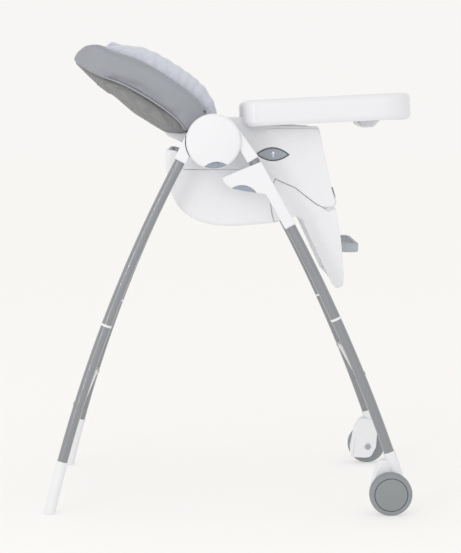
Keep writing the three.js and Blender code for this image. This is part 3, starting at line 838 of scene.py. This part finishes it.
pair(height_slider(), WHITE_ABS, "seat", "white_shell", "height_slider")
boss = rounded([[16, 738, 10], [70, 746, 10], [94, 706, 10], [40, 704, 10]])
boss = soften(slab("height_slider_boss", boss, SEAT_HALF + 0.5, 247.5), 2, 3)
pair(carve(boss, leg_bore()), WHITE_ABS, "seat", "white_shell")
height_lens = slab("height_lens_button", lens([8.2, 704.2], [59.6, 695.2], 10, 1.4), 269.8, 273.9)
pair(soften(height_lens, 0.8, 2, 60), BUTTON_GREY, "height_key_SIDE", "button_grey", "height_button")


# ------------------------------------------------------------------ seat
def side_panel():
    """The seat's side, with a knuckle at the knee and openings for its two buttons."""
    panel = rounded([[-98, SEAM_Z + 0.6], [-98, 800, 20], [-62, 846, 24], [-30, 854, 20],
                     [52, 854, 8], [68, 837, 8], [196, 834, 6], [225, 700, 30], [233, 672, 6],
                     [221, 660], *[[x, z + 0.2] for x, z in SEAM]], 6)
    body = slab("seat_side_panel", panel, SIDE_INNER, SEAT_HALF)
    soften(body, 1.6, 3, 35)
    boss = [[0, SIDE_INNER], [KNUCKLE_R, SIDE_INNER], [KNUCKLE_R, SEAT_HALF - 1],
            [KNUCKLE_R - 1, SEAT_HALF], [0, SEAT_HALF]]
    carve(body, turned("knuckle", KNEE, boss, 48), "UNION")
    carve(body, slab("lens", lens([60, 774.6], [134, 773.2], 15.6, 14.6, 16), 194.5, 206))
    crescent = rounded([[222, 706], [240, 706], [242, 676], [230, 684]])
    return carve(body, slab("crescent", crescent, 188, 206))


pair(side_panel(), WHITE_ABS, "seat", "white_shell", "seat_side")


rail = rounded([[83, 829, 2], [195, 829, 2], [195, 821.5, 3], [83, 821.5, 3]])
pair(soften(slab("tray_rail", rail, 198, 202.4), 1, 3), WHITE_ABS, "seat", "white_shell")


def arm_button_shadow_rim():
    """A charcoal rim round the armrest button: painted shadow standing for the shaded gap round the
    button.
    """
    rim = slab("arm_button_painted_shadow_rim", lens([60.4, 774.5], [133.6, 773.3], 15.3, 14.3, 16), 195, 200.6)
    carve(rim, slab("lens", lens([63.4, 774.2], [130.6, 773.4], 13.4, 12.4, 16), 190, 206))
    return rim


# painted shadow: this dark ring stands for the shaded gap round the armrest button
pair(soften(arm_button_shadow_rim(), 0.4, 2, 60), DARK_TRIM_AND_SHADOW, "seat", "dark_plastic")
arm_lens = slab("arm_lens_button", lens([64.2, 774.2], [129.8, 773.4], 12.9, 11.9, 16), 198.4, 201.2)
pair(soften(arm_lens, 0.9, 3, 60), ARM_BUTTON_GREY, "arm_key_SIDE", "button_grey", "arm_button")
arrow = [[96.9, 768], [99.1, 768], [99.1, 775.4], [102.2, 775.4], [98, 781], [93.8, 775.4],
         [96.9, 775.4]]
pair(slab("arm_arrow", [Vector(p) for p in arrow], 200.9, 201.45), WHITE_PRINT, "arm_key_SIDE",
     "white_shell")


# how far out the side slots lie: the bucket's for the calf rest's cheeks, the tray's for the
# seat's side panels
SIDE_SLOTS = ((-205, -187), (187, 205))
SEAT_ROOM = [[-128, 900], [-128, 742, 20], [-114, 687, 30], [-94, 656, 20], [-58, 636, 20],
             [60, 638, 20], [200, 664, 4], [220, 670], [220, 900]]


def round_ends(piece, about, width, fall, steps=6):
    """Rounds both side rims: the end faces step outward, each a little smaller about a point."""
    for side in (-1, 1):
        edit(piece)
        pick(piece, "FACE", lambda face: face.normal.y * side > 0.999)
        for k in range(steps):
            here, there = radians(90 * k / steps), radians(90 * (k + 1) / steps)
            out = width * (sin(there) - sin(here)) * side
            bpy.ops.mesh.extrude_region_move(TRANSFORM_OT_translate={"value": (0, out * MM, 0)})
            shrink = Vector((
                (1 - fall[0] * (1 - cos(there))) / (1 - fall[0] * (1 - cos(here))),
                1,
                (1 - fall[1] * (1 - cos(there))) / (1 - fall[1] * (1 - cos(here))),
            ))
            mesh = bmesh.from_edit_mesh(piece.data)
            ends = [vertex for vertex in mesh.verts if vertex.select]
            pivot = Matrix.Translation(-point(about[0], 0, about[1]))
            bmesh.ops.scale(mesh, vec=shrink, space=pivot, verts=ends)
            bmesh.update_edit_mesh(piece.data)
        close(piece)
    return piece


def seat_bucket():
    """The bucket under the seat, its side edges well rounded, hollow inside."""
    low = through([[-131, 784.6], [-133.6, 781], [-134.6, 764], [-133.6, 742], [-128.6, 712],
                   [-119.6, 682], [-99, 652], [-66, 630.6], [-31, 621], [8, 618.6], [60, 621.6],
                   [110, 627]])
    low += rounded([[110, 715.5], [91.5, 729.5], [75.5, SEAM_Z - 0.4], [-101, SEAM_Z - 0.4],
                    [-118, 746, 6], [-120, 784]], 7)
    shell = slab("seat_bucket", low, -189.6, 189.6)
    round_ends(shell, (110, SEAM_Z - 0.4), 10, (0.045, 0.09))
    for near, far in SIDE_SLOTS:
        reach = CALF_SWEEP_R + 0.8
        carve(shell, turned("sweep", KNEE, [[0, near], [reach, near], [reach, far], [0, far]], 96))
    behind = [[-127.4, 906], [-127.4, 743, 20], [-112.4, 692, 20], [-88, 664, 12], [82, 664],
              [82, 906]]
    carve(shell, slab("behind", rounded(behind), -186.4, 186.4))
    return carve(shell, slab("room", rounded(SEAT_ROOM), -SEAT_ROOM_HALF, SEAT_ROOM_HALF))


def seat_tongue():
    """The seat's front lip, between the calf rest's cheeks."""
    lip = rounded([[60, 634], [150, 644, 10], [204, 654, 8], [206, 668, 4], [200, 735, 8],
                   [60, 735]])
    tongue = soften(slab("seat_front_lip", lip, -186.6, 186.6), 3, 3)
    carve(tongue, slab("room", rounded(SEAT_ROOM), -182.3, 182.3))
    knee_room = [[0, -190], [HOOD_R + 1, -190], [HOOD_R + 1, 190], [0, 190]]
    return carve(tongue, turned("knee_room", KNEE, knee_room, 48))


single(seat_bucket(), WHITE_ABS, "seat", "white_shell", "seat_shell")
single(seat_tongue(), WHITE_ABS, "seat", "white_shell")


def harness_buckle():
    """A rounded buckle with a raised release key in its middle."""
    body = soften(slab("harness_buckle_body", rounded([[108, 740, 3], [107.4, 751, 20], [108, 762, 4],
                       [116.6, 764, 3], [116.6, 738, 2]]), -24, 24), 1.8, 3)
    key = slab("key", rounded([[106, 745, 2], [106, 757, 2], [110, 757], [110, 745]]), -9, 9)
    return carve(body, soften(key, 1, 2), "UNION")


def strap(name, line, middle, width, thickness):
    """Flat webbing along a side-elevation line, centred a distance out on the right-hand side."""
    piece = draw_line(name, [point(x, width / 2 - middle, z) for x, z in line])
    bpy.ops.mesh.select_all(action="SELECT")
    bpy.ops.mesh.extrude_region_move(TRANSFORM_OT_translate={"value": (0, -width * MM, 0)})
    take(piece)
    bpy.ops.object.transform_apply(location=True, rotation=True, scale=True)
    apply(piece, "SOLIDIFY", thickness=thickness * MM, offset=0)
    edit(piece)
    return soften(close(piece), thickness / 3, 2, 50)


single(harness_buckle(), DARK_TRIM_AND_SHADOW, "seat", "dark_plastic", "harness_buckle")
crotch_line = [[119.5, 699], [119.6, 712], [119.4, 726], [119.6, 740], [119.5, 747]]
single(strap("crotch_webbing", crotch_line, 0, 30, 2), WEBBING, "seat", "webbing", "crotch_strap")


# ------------------------------------------------------------------ calf rest and footrest
def board_x(z, behind=0):
    """How far forward the calf rest's board is at a height."""
    return 240 - 0.075 * (z - 590) - behind


def calf_rest():
    """Two tapering cheeks, the board between them that the footrest slides on, and its cowl."""
    cheek = rounded([[234, 657, 4], [246, 590, 60], [253, 512, 30], [251, 487, 8], [236, 482, 8],
                     [226, 494, 8], [161, 633, 4], [150, 640, 4], [100, 629, 6], [88, 672, 30],
                     [96, 724.4, 3], [107, 718.2], [146, 701.1], [189.4, 667.2], [205.2, 659],
                     [218, 650]], 6)
    limit = slab("limit", rounded([[150, 760], [330, 760], [330, 440], [150, 440]]), 180, 200)
    sweep = turned("sweep", KNEE, [[0, 180], [CALF_SWEEP_R, 180], [CALF_SWEEP_R, 200], [0, 200]], 96)
    side = slab("calf_rest_shell", cheek, CHEEK_INNER, CHEEK_OUTER)
    carve(side, carve(sweep, limit, "UNION"), "INTERSECT")
    knuckle_room = turned("room", KNEE, [[0, 180], [12.9, 180], [12.9, 205], [0, 205]], 48)
    carve(side, knuckle_room)
    soften(side, 1.5, 3, 35)
    lug_outer = 191.4
    lug = [[0, CHEEK_INNER], [15, CHEEK_INNER], [15, lug_outer], [5, lug_outer], [5, CHEEK_OUTER],
           [0, CHEEK_OUTER]]
    carve(side, turned("lug", KNEE, lug, 40), "UNION")
    web = [[212, 672], [230, 672], [232, 640], [212, 640]]
    carve(side, slab("web", rounded(web), CHEEK_INNER, lug_outer), "UNION")
    carve(side, other_side(side, "far_cheek"), "UNION")
    board = rounded([[board_x(655), 655], [board_x(494), 494], [240, 484, 4], [229, 494],
                     [board_x(500, 5), 500], [board_x(655, 5), 655]])
    carve(side, soften(slab("board", board, -190, 190), 1, 2), "UNION")
    ring = [[HOOD_R - 3, -186], [HOOD_R, -186], [HOOD_R, 186], [HOOD_R - 3, 186], [HOOD_R - 3, -186]]
    hood = turned("hood", KNEE, ring, 64)
    below = [Vector(p) for p in ([221, 668], [236, 655], [236, 630], [180, 630], [190, 668])]
    carve(hood, slab("below", below, -188, 188), "INTERSECT")
    return carve(side, hood, "UNION")


def footrest():
    """A tread with rounded corners and shallow grip ribs, on a plate that slides on the board."""
    plan = rounded([[230, -135], [291.5, -135, 26], [291.5, 135, 26], [230, 135]], 8)
    tread = soften(plate("footrest_tread", plan, 557, 577), 3.2, 4)
    tilt(tread, radians(-1.5), (240, 567))
    carve(tread, slab("limit", [Vector(p) for p in ([board_x(600, -1), 600], [300, 600], [300, 530],
                                                   [board_x(530, -1), 530])], -140, 140), "INTERSECT")
    for k in range(5):
        middle = 253 + 7 * k
        rib = slab("rib", rounded([[middle - 1.6, 574], [middle - 1.2, 577.7, 1],
                                   [middle + 1.2, 577.7, 1], [middle + 1.6, 574]], 3), -112, 112)
        carve(tread, rib, "UNION")
    back = [[board_x(600, -0.4), 600], [board_x(600, -4), 600], [board_x(540, -4), 540],
            [board_x(540, -0.4), 540]]
    return carve(tread, slab("slide", [Vector(p) for p in back], -70, 70), "UNION")


single(calf_rest(), WHITE_ABS, "calf_rest", "white_shell", "calf_panel")
single(footrest(), FOOTREST_GREY, "foot_board", "footrest_grey", "footrest")
crescent_key = rounded([[223.6, 704, 1], [227.3, 703, 1], [234, 680, 1], [230.4, 685, 1]], 3)
pair(soften(slab("calf_crescent_button", crescent_key, 195.2, 199.6), 0.6, 2, 50), CRESCENT_GREY,
     "calf_key_SIDE", "dark_plastic", "calf_button")


# ------------------------------------------------------------------ tray
def tray_plan(inset):
    """The tray's plan, drawn in all round by an inset, with the cut-out for the belly."""
    rear, front = TRAY_REAR + inset, TRAY_FRONT - inset
    half, belly = TRAY_HALF - inset, 150 + inset
    return rounded([[rear, -half, 40], [front, -half, 70], [front, half, 70], [rear, half, 40],
                    [rear, belly, 30], [belly, belly, 90], [belly, -belly, 90], [rear, -belly, 30]],
                   12)


def tray_body():
    """The tray's deep rounded body, tipped up a little at the front, with a sunk dish."""
    body = plate("tray_body", tray_plan(0), TRAY_LOW, TRAY_TOP)
    bevel_edges(body, lambda edge: level(edge, TRAY_LOW), 16, 6)
    bevel_edges(body, lambda edge: level(edge, TRAY_TOP), 12, 6)
    carve(body, soften(plate("under", tray_plan(5), 800, 868), 12, 3, 60))
    carve(body, plate("dish", tray_plan(12), 874.5, 910))
    tilt(body, TRAY_TILT, TRAY_PIVOT)
    for near, far in SIDE_SLOTS:
        carve(body, slab("slot", rounded([[10, 800], [10, 859], [60, 859], [60, 800]]), near, far))
    for x, z in ((57, 852), (383, 884)):
        for near in (-254, 247.6):
            mark = rounded([[x - 6, z - 0.9, 0.8], [x + 6, z - 0.9, 0.8], [x + 6, z + 0.9, 0.8],
                            [x - 6, z + 0.9, 0.8]], 3)
            carve(body, slab("mark", mark, near, near + 6.4))
    return body


def tray_liner():
    """The lift-out liner: a shallow dish with a raised lip."""
    body = plate("tray_liner", tray_plan(13.4), 875, 889.6)
    soften(body, 2.4, 3, 50)
    carve(body, soften(plate("hollow", tray_plan(21), 878.4, 910), 5, 4, 60))
    return tilt(body, TRAY_TILT, TRAY_PIVOT)


def tray_pull():
    """The release handle under the tray's front edge."""
    outline = rounded([[394.7, 897, 1], [396.4, 897, 2], [398.3, 886, 4], [396.4, 868, 2],
                       [394.7, 867, 1]], 6)
    return soften(slab("tray_release_pull", outline, -75, 75), 0.7, 3)


def tray_latch():
    """The rounded latch housing under the front of the tray."""
    outline = rounded([[286, 874], [294, 838, 10], [308, 830.5, 10], [328, 832, 10], [342, 846, 10],
                       [350, 876]], 6)
    return soften(slab("tray_latch_housing", outline, -70, 70), 7, 5)


single(tray_latch(), TRAY_WHITE, "tray", "white_shell")
single(tray_body(), TRAY_WHITE, "tray", "white_shell", "tray_base")
single(tray_liner(), TRAY_WHITE, "tray", "white_shell", "tray_insert")
single(tray_pull(), TRAY_WHITE, "tray_release", "white_shell", "tray_handle")


# ------------------------------------------------------------------ the back's curve
BACK_LINE = [Vector(p) for p in ([-74, 752], [-80, 795], [-100, 839], [-144, 877], [-215, 920],
                                 [-287, 950], [-336, 981])]


def back_line(t):
    """A smooth curve up the back in the side elevation, from the seat at 0 to the head at 1."""
    last = len(BACK_LINE) - 1
    k = min(int(last * t), last - 1)
    return glide(BACK_LINE, k, last * t - k)


def back_point(t, height):
    """A point at a height square to the back's curve, in front of it when above 0."""
    nudge = 0.0001
    along = (back_line(min(1, t + nudge)) - back_line(max(0, t - nudge))).normalized()
    return back_line(t) + Vector((along.y, -along.x)) * height


def ramp(t, start, end):
    """Rises smoothly from 0 at the start to 1 at the end."""
    share = max(0.0, min(1.0, (t - start) / (end - start)))
    return share * share * (3 - 2 * share)


def rear_depth(t):
    """How far behind the curve the back's rear face lies, below 0."""
    return -4 - 38 * ramp(t, 0.1, 0.34) * (1 - ramp(t, 0.55, 0.98))


def liner_height(t):
    """How high the liner's bolsters stand above the back's curve."""
    return 66 + 30 * ramp(t, 0.1, 0.45) * (1 - ramp(t, 0.62, 0.95))


def head_round(t, height):
    """A height that shrinks near the tip, so that the head end is round."""
    return height * sqrt(max(0.06, 1 - max(0, (t - 0.86) / 0.14) ** 2))


def spaced(start, end, steps):
    return [start + (end - start) * k / steps for k in range(steps + 1)]


def back_band(low, high, start, end, steps=40):
    """An outline between two heights above the back's curve."""
    ts = spaced(start, end, steps)
    return [back_point(t, high(t)) for t in ts] + [back_point(t, low(t)) for t in reversed(ts)]


SAMPLES = 400


def back_places(piece):
    """Each vertex's share of the way up the back and its height above the back's curve."""
    ts = spaced(0, 1, SAMPLES)
    line = numpy.array([back_line(t) for t in ts])
    lift = numpy.array([back_point(t, 1) - back_line(t) for t in ts])
    spots = numpy.array([(v.co.x, v.co.z) for v in piece.data.vertices]) / MM
    nearest = numpy.zeros(len(spots), int)
    closest = numpy.full(len(spots), 1e9)
    for k, spot in enumerate(line):
        far = numpy.hypot(spots[:, 0] - spot[0], spots[:, 1] - spot[1])
        nearest[far < closest] = k
        closest = numpy.minimum(far, closest)
    heights = ((spots - line[nearest]) * lift[nearest]).sum(axis=1)
    return [(k / SAMPLES, height) for k, height in zip(nearest, heights)]


# ------------------------------------------------------------------ padded pieces
def even_mesh(piece, voxel, smoothing):
    """Gives a closed form an even mesh and rubs its edges round."""
    take(piece)
    piece.data.remesh_voxel_size = voxel * MM
    bpy.ops.object.voxel_remesh()
    return apply(piece, "SMOOTH", factor=0.5, iterations=smoothing)


def fill_with_wadding(piece, most, pressure=4.0):
    """Blows a closed cloth form up like a cushion. No point moves further than most, in mm."""
    take(piece)
    start = [vertex.co.copy() for vertex in piece.data.vertices]
    filling = piece.modifiers.new("filling", "CLOTH")
    settings = filling.settings
    settings.quality = 5
    settings.use_pressure = True
    settings.uniform_pressure_force = pressure
    settings.effector_weights.gravity = 0
    scene = bpy.context.scene
    frames = 20
    for step in range(1, frames + 1):
        scene.frame_set(step)
    bpy.ops.object.modifier_apply(modifier=filling.name)
    scene.frame_set(1)
    for vertex, was in zip(piece.data.vertices, start):
        move = vertex.co - was
        if move.length > most * MM:
            vertex.co = was + move.normalized() * most * MM
    return piece


def sewn_finish(piece, material, body, slot, node):
    """Smooths a padded piece's shading and dresses it."""
    take(piece)
    bpy.ops.object.shade_smooth()
    return dress(piece, material, body, slot, node)


def press(piece, amount):
    """Moves each vertex along its normal by amount(vertex number, its place), in millimetres."""
    normals = [vertex.normal.copy() for vertex in piece.data.vertices]
    for vertex, normal in zip(piece.data.vertices, normals):
        vertex.co += normal * amount(vertex.index, vertex.co) * MM


def groove(distance, width):
    """1 in the middle of a line, falling to 0 at its edge."""
    return max(0.0, 1 - (distance / width) ** 2) ** 2


def head_form(half, tip, corner):
    """A block round the whole back, with the head end's corners rounded in plan."""
    outline = rounded([[tip, -half, corner], [tip, half, corner], [60, half], [60, -half]], 12)
    return plate("head_form", outline, 700, 1100)


def outer_cover():
    """The grey padded rim round the back: both sides and the head end."""
    wall = slab("back_outer_cover", back_band(lambda t: 0.5, lambda t: head_round(t, COVER_HEIGHT - 2),
                                              0.27, 1), -COVER_HALF, COVER_HALF)
    carve(wall, head_form(COVER_HALF, -350, 88), "INTERSECT")
    room = slab("room", back_band(lambda t: 4, lambda t: 96, 0.2, 0.94), -153, 153)
    carve(room, head_form(153, -318, 68), "INTERSECT")
    carve(wall, room)
    even_mesh(wall, 5, 5)
    fill_with_wadding(wall, 5)
    apply(wall, "SUBSURF", levels=1, render_levels=1)
    places = back_places(wall)

    seam_height = 54

    def sewn(index, co):
        height = places[index][1]
        outside = abs(co.y) > 0.164 or co.x < -0.328
        shut = groove(height - seam_height, 2.6) if outside else 0
        swell = 0.8 * exp(-((height - 30) / 16) ** 2)
        return swell - 1.6 * shut

    press(wall, sewn)
    return sewn_finish(wall, COVER_GREY, "backrest", "grey_cover", "back_cover")


outer_cover()


def piping():
    """The corded edge between the cover and the panel behind it, round the head end."""
    half, tip, corner = 172, -335, 88
    reach = [back_point(t, 0) for t in spaced(0.285, 1, 600)]

    def on_edge(x, y):
        return point(x, y, min(reach, key=lambda p: abs(p.x - x)).y - 0.5)

    side = [on_edge(p.x, -half) for p in reach[::15] if p.x > tip + corner]
    for k in range(17):
        turn = pi / 2 * k / 16
        side.append(on_edge(tip + corner - corner * sin(turn), corner - half - corner * cos(turn)))
    points = side + [Vector((p.x, -p.y, p.z)) for p in reversed(side)]
    curve = bpy.data.curves.new("back_piping", "CURVE")
    curve.dimensions = "3D"
    spline = curve.splines.new("POLY")
    spline.points.add(len(points) - 1)
    for made, place in zip(spline.points, points):
        made.co = (*place, 1)
    curve.bevel_depth = 2.3 * MM
    curve.bevel_resolution = 3
    curve.use_fill_caps = True
    cord = bpy.data.objects.new("back_piping", curve)
    bpy.context.collection.objects.link(cord)
    take(cord)
    bpy.ops.object.convert(target="MESH")
    cord = bpy.context.object
    bpy.ops.object.shade_smooth()
    return dress(cord, PIPING_GREY, "backrest", "grey_cover")


piping()


def zip_stop():
    """The dark stop at the lower end of each side seam."""
    middle = back_point(0.315, 57)
    outline = rounded([[middle.x - 3.5, middle.y + 1.5, 1], [middle.x, middle.y + 3, 1],
                       [middle.x + 3.5, middle.y - 1.5, 1], [middle.x, middle.y - 3, 1]], 3)
    return soften(slab("zip_stop", outline, 172, 177), 0.8, 2)


pair(zip_stop(), DARK_TRIM_AND_SHADOW, "backrest", "dark_plastic")


# how far up the back the recline handle starts and ends
HANDLE_LOW, HANDLE_HIGH = 0.66, 0.82


def handle_outline(room, deep):
    """The outline of the panel's pocket that the recline handle moves in."""
    low, high = HANDLE_LOW - room, HANDLE_HIGH + room
    return [back_point(low, rear_depth(low) + deep), back_point(low, rear_depth(low) - 7),
            back_point(high, rear_depth(high) - 7), back_point(high, rear_depth(high) + deep)]


def back_panel():
    """The dark cloth panel stretched over the back, from the hem up to the head."""
    edge = [back_point(t, -1.2) for t in spaced(0.26, 0.985, 40)]
    rear = [back_point(t, rear_depth(t) - 0.5) for t in spaced(0.975, 0.5, 26)]
    panel = slab("back_cloth_panel", edge + rear + [Vector((-128, 820))], -PANEL_HALF, PANEL_HALF)
    carve(panel, head_form(PANEL_HALF, -342, 85), "INTERSECT")
    even_mesh(panel, 4, 10)
    fill_with_wadding(panel, 2.5, 2.0)
    places = back_places(panel)

    def drawn(index, co):
        t, height = places[index]
        return noise(Vector((t * 14, co.y * 9, 0))) * 1.1 * ramp(-height, 6, 20)

    press(panel, drawn)
    carve(panel, slab("handle_pocket", handle_outline(0.02, 14), -59, 59))
    take(panel)
    bpy.ops.object.shade_smooth_by_angle(angle=radians(45))
    return dress(panel, PANEL_CLOTH, "backrest", "back_panel", "back_shell")


back_panel()


def back_frame():
    """The white moulded frame at the foot of the back, with the barrel it reclines on."""
    front = [back_point(t, -1) for t in spaced(0.04, 0.42, 20)]
    rear = [back_point(t, rear_depth(t) + 1.2) for t in spaced(0.52, 0.04, 24)]
    return soften(slab("back_lower_frame", front + rear, -149, 149), 3, 3)


single(back_frame(), WHITE_ABS, "backrest", "white_shell")
barrel = turned("recline_barrel", RECLINE_AXIS, [[0, -197], [5, -197], [5, -186], [11, -186],
                [12, -185], [12, 185], [11, 186], [5, 186], [5, 197], [0, 197]], 48)
single(barrel, WHITE_ABS, "backrest", "white_shell")


def recline_handle():
    """The squeeze handle behind the back, thick at its upper end and thin at its lower end."""
    def thickness(t):
        ridge = exp(-((t - 0.675) / 0.012) ** 2)
        return 2.2 + 4.6 * ramp(t, 0.72, 0.755) + 2.5 * ridge

    steps = spaced(HANDLE_LOW, HANDLE_HIGH, 12)
    inner = [back_point(t, rear_depth(t) + 3) for t in steps]
    outer = [back_point(t, rear_depth(t) - thickness(t)) for t in reversed(steps)]
    return soften(slab("recline_squeeze_handle", inner + outer, -56, 56), 1.4, 3, 40)


single(recline_handle(), DARK_TRIM_AND_SHADOW, "recline_lever", "dark_plastic", "recline_handle")


def back_liner():
    """The pale padded liner inside the back: two side bolsters and a quilted middle."""
    pad = slab("back_liner_pad", back_band(lambda t: 6, lambda t: head_round(t, liner_height(t) - 4),
                                           0.08, 0.925), -LINER_HALF, LINER_HALF)
    carve(pad, head_form(LINER_HALF, -312, 64), "INTERSECT")
    carve(pad, slab("room", back_band(lambda t: PAD_FLOOR - 2, lambda t: 130, 0.0, 0.885), -102, 102))
    even_mesh(pad, 6, 6)
    fill_with_wadding(pad, 6)
    apply(pad, "SUBSURF", levels=1, render_levels=1)
    places = back_places(pad)

    def quilted(index, co):
        t, height = places[index]
        across = abs(co.y)
        gathers = 0
        if across > 0.1:
            wave = sin(t * 120 + 3 * noise(Vector((t * 9, co.y * 4, 1))))
            gathers = 1.7 * wave * ramp(height, 48, 84) * (0.5 + noise(Vector((t * 16, 2, 3))))
        channel = 0
        if across < 0.1 and height < 60:
            row = abs((t * 8) % 1 - 0.5)
            channel = -2.6 * groove(row, 0.09) * (1 - groove(across - 0.1, 0.02))
        crumple = 0.5 * noise(co * 40)
        return gathers + channel + crumple

    press(pad, quilted)
    return sewn_finish(pad, LINER, "backrest", "liner", "back_pad")


back_liner()


def head_cushion():
    """The soft head cushion, crowned and crumpled, near the top of the back."""
    pad = slab("head_cushion", back_band(lambda t: PAD_FLOOR + 3, lambda t: PAD_FLOOR + 18
                                         + 34 * ramp(t, 0.66, 0.78), 0.67, 0.865, 16), -94, 94)
    soften(pad, 8, 4, 50)
    even_mesh(pad, 5, 8)
    fill_with_wadding(pad, 9)
    apply(pad, "SUBSURF", levels=1, render_levels=1)
    press(pad, lambda index, co: 1.3 * noise(co * 55) + 0.8 * noise(co * 120))
    return sewn_finish(pad, LINER, "backrest", "liner", "head_pillow")


head_cushion()


def seat_liner():
    """The seat's padded liner: a crowned cushion with three sewn channels across it."""
    outline = rounded([[-84, 668, 16], [-54, 643, 14], [60, 645, 20], [210, 673, 6], [213, 688, 10],
                       [180, 698, 20], [60, 683, 30], [-40, 685, 20], [-80, 702, 10]], 6)
    pad = slab("seat_liner_pad", outline, -174, 174)
    soften(pad, 7, 4, 50)
    even_mesh(pad, 6, 6)
    fill_with_wadding(pad, 7)
    apply(pad, "SUBSURF", levels=1, render_levels=1)

    upward = [vertex.normal.z > 0.3 for vertex in pad.data.vertices]

    def channels(index, co):
        if not upward[index]:
            return 0
        deep = sum(groove(co.x - x, 0.006) for x in (-0.03, 0.04, 0.11))
        edge = groove(abs(co.y) - 0.135, 0.006)
        return 0.6 * noise(co * 35) - 3.2 * min(1, deep + edge)

    press(pad, channels)
    return sewn_finish(pad, LINER, "seat", "liner", "seat_pad")


seat_liner()

shoulder_line = [back_point(t, PAD_FLOOR + 1.6) for t in spaced(0.225, 0.6, 24)]
pair(strap("shoulder_webbing", shoulder_line, 51, 26, 2), WEBBING, "backrest", "webbing",
     "shoulder_strap")

# ------------------------------------------------------------------ floor, light and camera
FLOOR_COLOUR = "#F7F6F4"


def floor_material():
    """A pale studio floor that glows a little, so that the shadows on it stay faint."""
    material, tree, where = new_material("pale_studio_floor", FLOOR_COLOUR)
    patches = add_node(tree, "ShaderNodeTexNoise", {"Vector": where, "Scale": 0.4})
    tint = add_node(
        tree,
        "ShaderNodeMix",
        {0: patches.outputs["Fac"], 6: linear("#BCBBBA"), 7: linear("#BDBCBB")},
        data_type="RGBA",
    )
    shader = add_node(
        tree,
        "ShaderNodeBsdfPrincipled",
        {
            "Base Color": tint.outputs[2],
            "Roughness": 0.9,
            "Specular IOR Level": 0.0,
            "Emission Color": linear(FLOOR_COLOUR),
            "Emission Strength": 0.5,
        },
    )
    add_node(tree, "ShaderNodeOutputMaterial", {"Surface": shader.outputs["BSDF"]})
    return material


deselect()
bpy.ops.mesh.primitive_plane_add(size=60, location=(0, 0, -0.0005))
floor = bpy.context.object
floor.name = "studio_floor"
floor.data.materials.append(floor_material())

world = bpy.data.worlds.new("studio")
bpy.context.scene.world = world
world.use_nodes = True
world.node_tree.nodes["Background"].inputs["Color"].default_value = linear("#F7F6F4")
world.node_tree.nodes["Background"].inputs["Strength"].default_value = 1.0


def softbox(name, location, target, width, height, power, colour="#FFFFFF"):
    light = bpy.data.lights.new(name, "AREA")
    light.shape = "RECTANGLE"
    light.size = width
    light.size_y = height
    light.energy = power
    light.color = linear(colour)[:3]
    lamp = bpy.data.objects.new(name, light)
    lamp.location = location
    lamp.rotation_euler = (Vector(target) - Vector(location)).to_track_quat("-Z", "Y").to_euler()
    bpy.context.collection.objects.link(lamp)


softbox("key_softbox", (-1.2, -2.4, 2.6), (0, 0, 0.6), 1.6, 1.0, 5)
softbox("edge_strip", (-2.4, -3.6, 1.2), (0, 0, 0.5), 0.07, 2.4, 20)
softbox("front_fill", (0.3, -4.6, 1.5), (0, 0, 0.6), 3.0, 2.0, 14)

CAMERA_PLACE = (-0.0437, -3.85, 0.8586)
LOOK_DOWN = 5.468
TURN_RIGHT = 0.7775
FOCAL_LENGTH = 109.82

camera_data = bpy.data.cameras.new("camera")
camera_data.sensor_width = 36
camera_data.lens = FOCAL_LENGTH
camera = bpy.data.objects.new("camera", camera_data)
camera.location = CAMERA_PLACE
camera.rotation_euler = (radians(90 - LOOK_DOWN), 0, radians(-TURN_RIGHT))
bpy.context.collection.objects.link(camera)
bpy.context.scene.camera = camera
bpy.context.scene.view_settings.view_transform = "Standard"
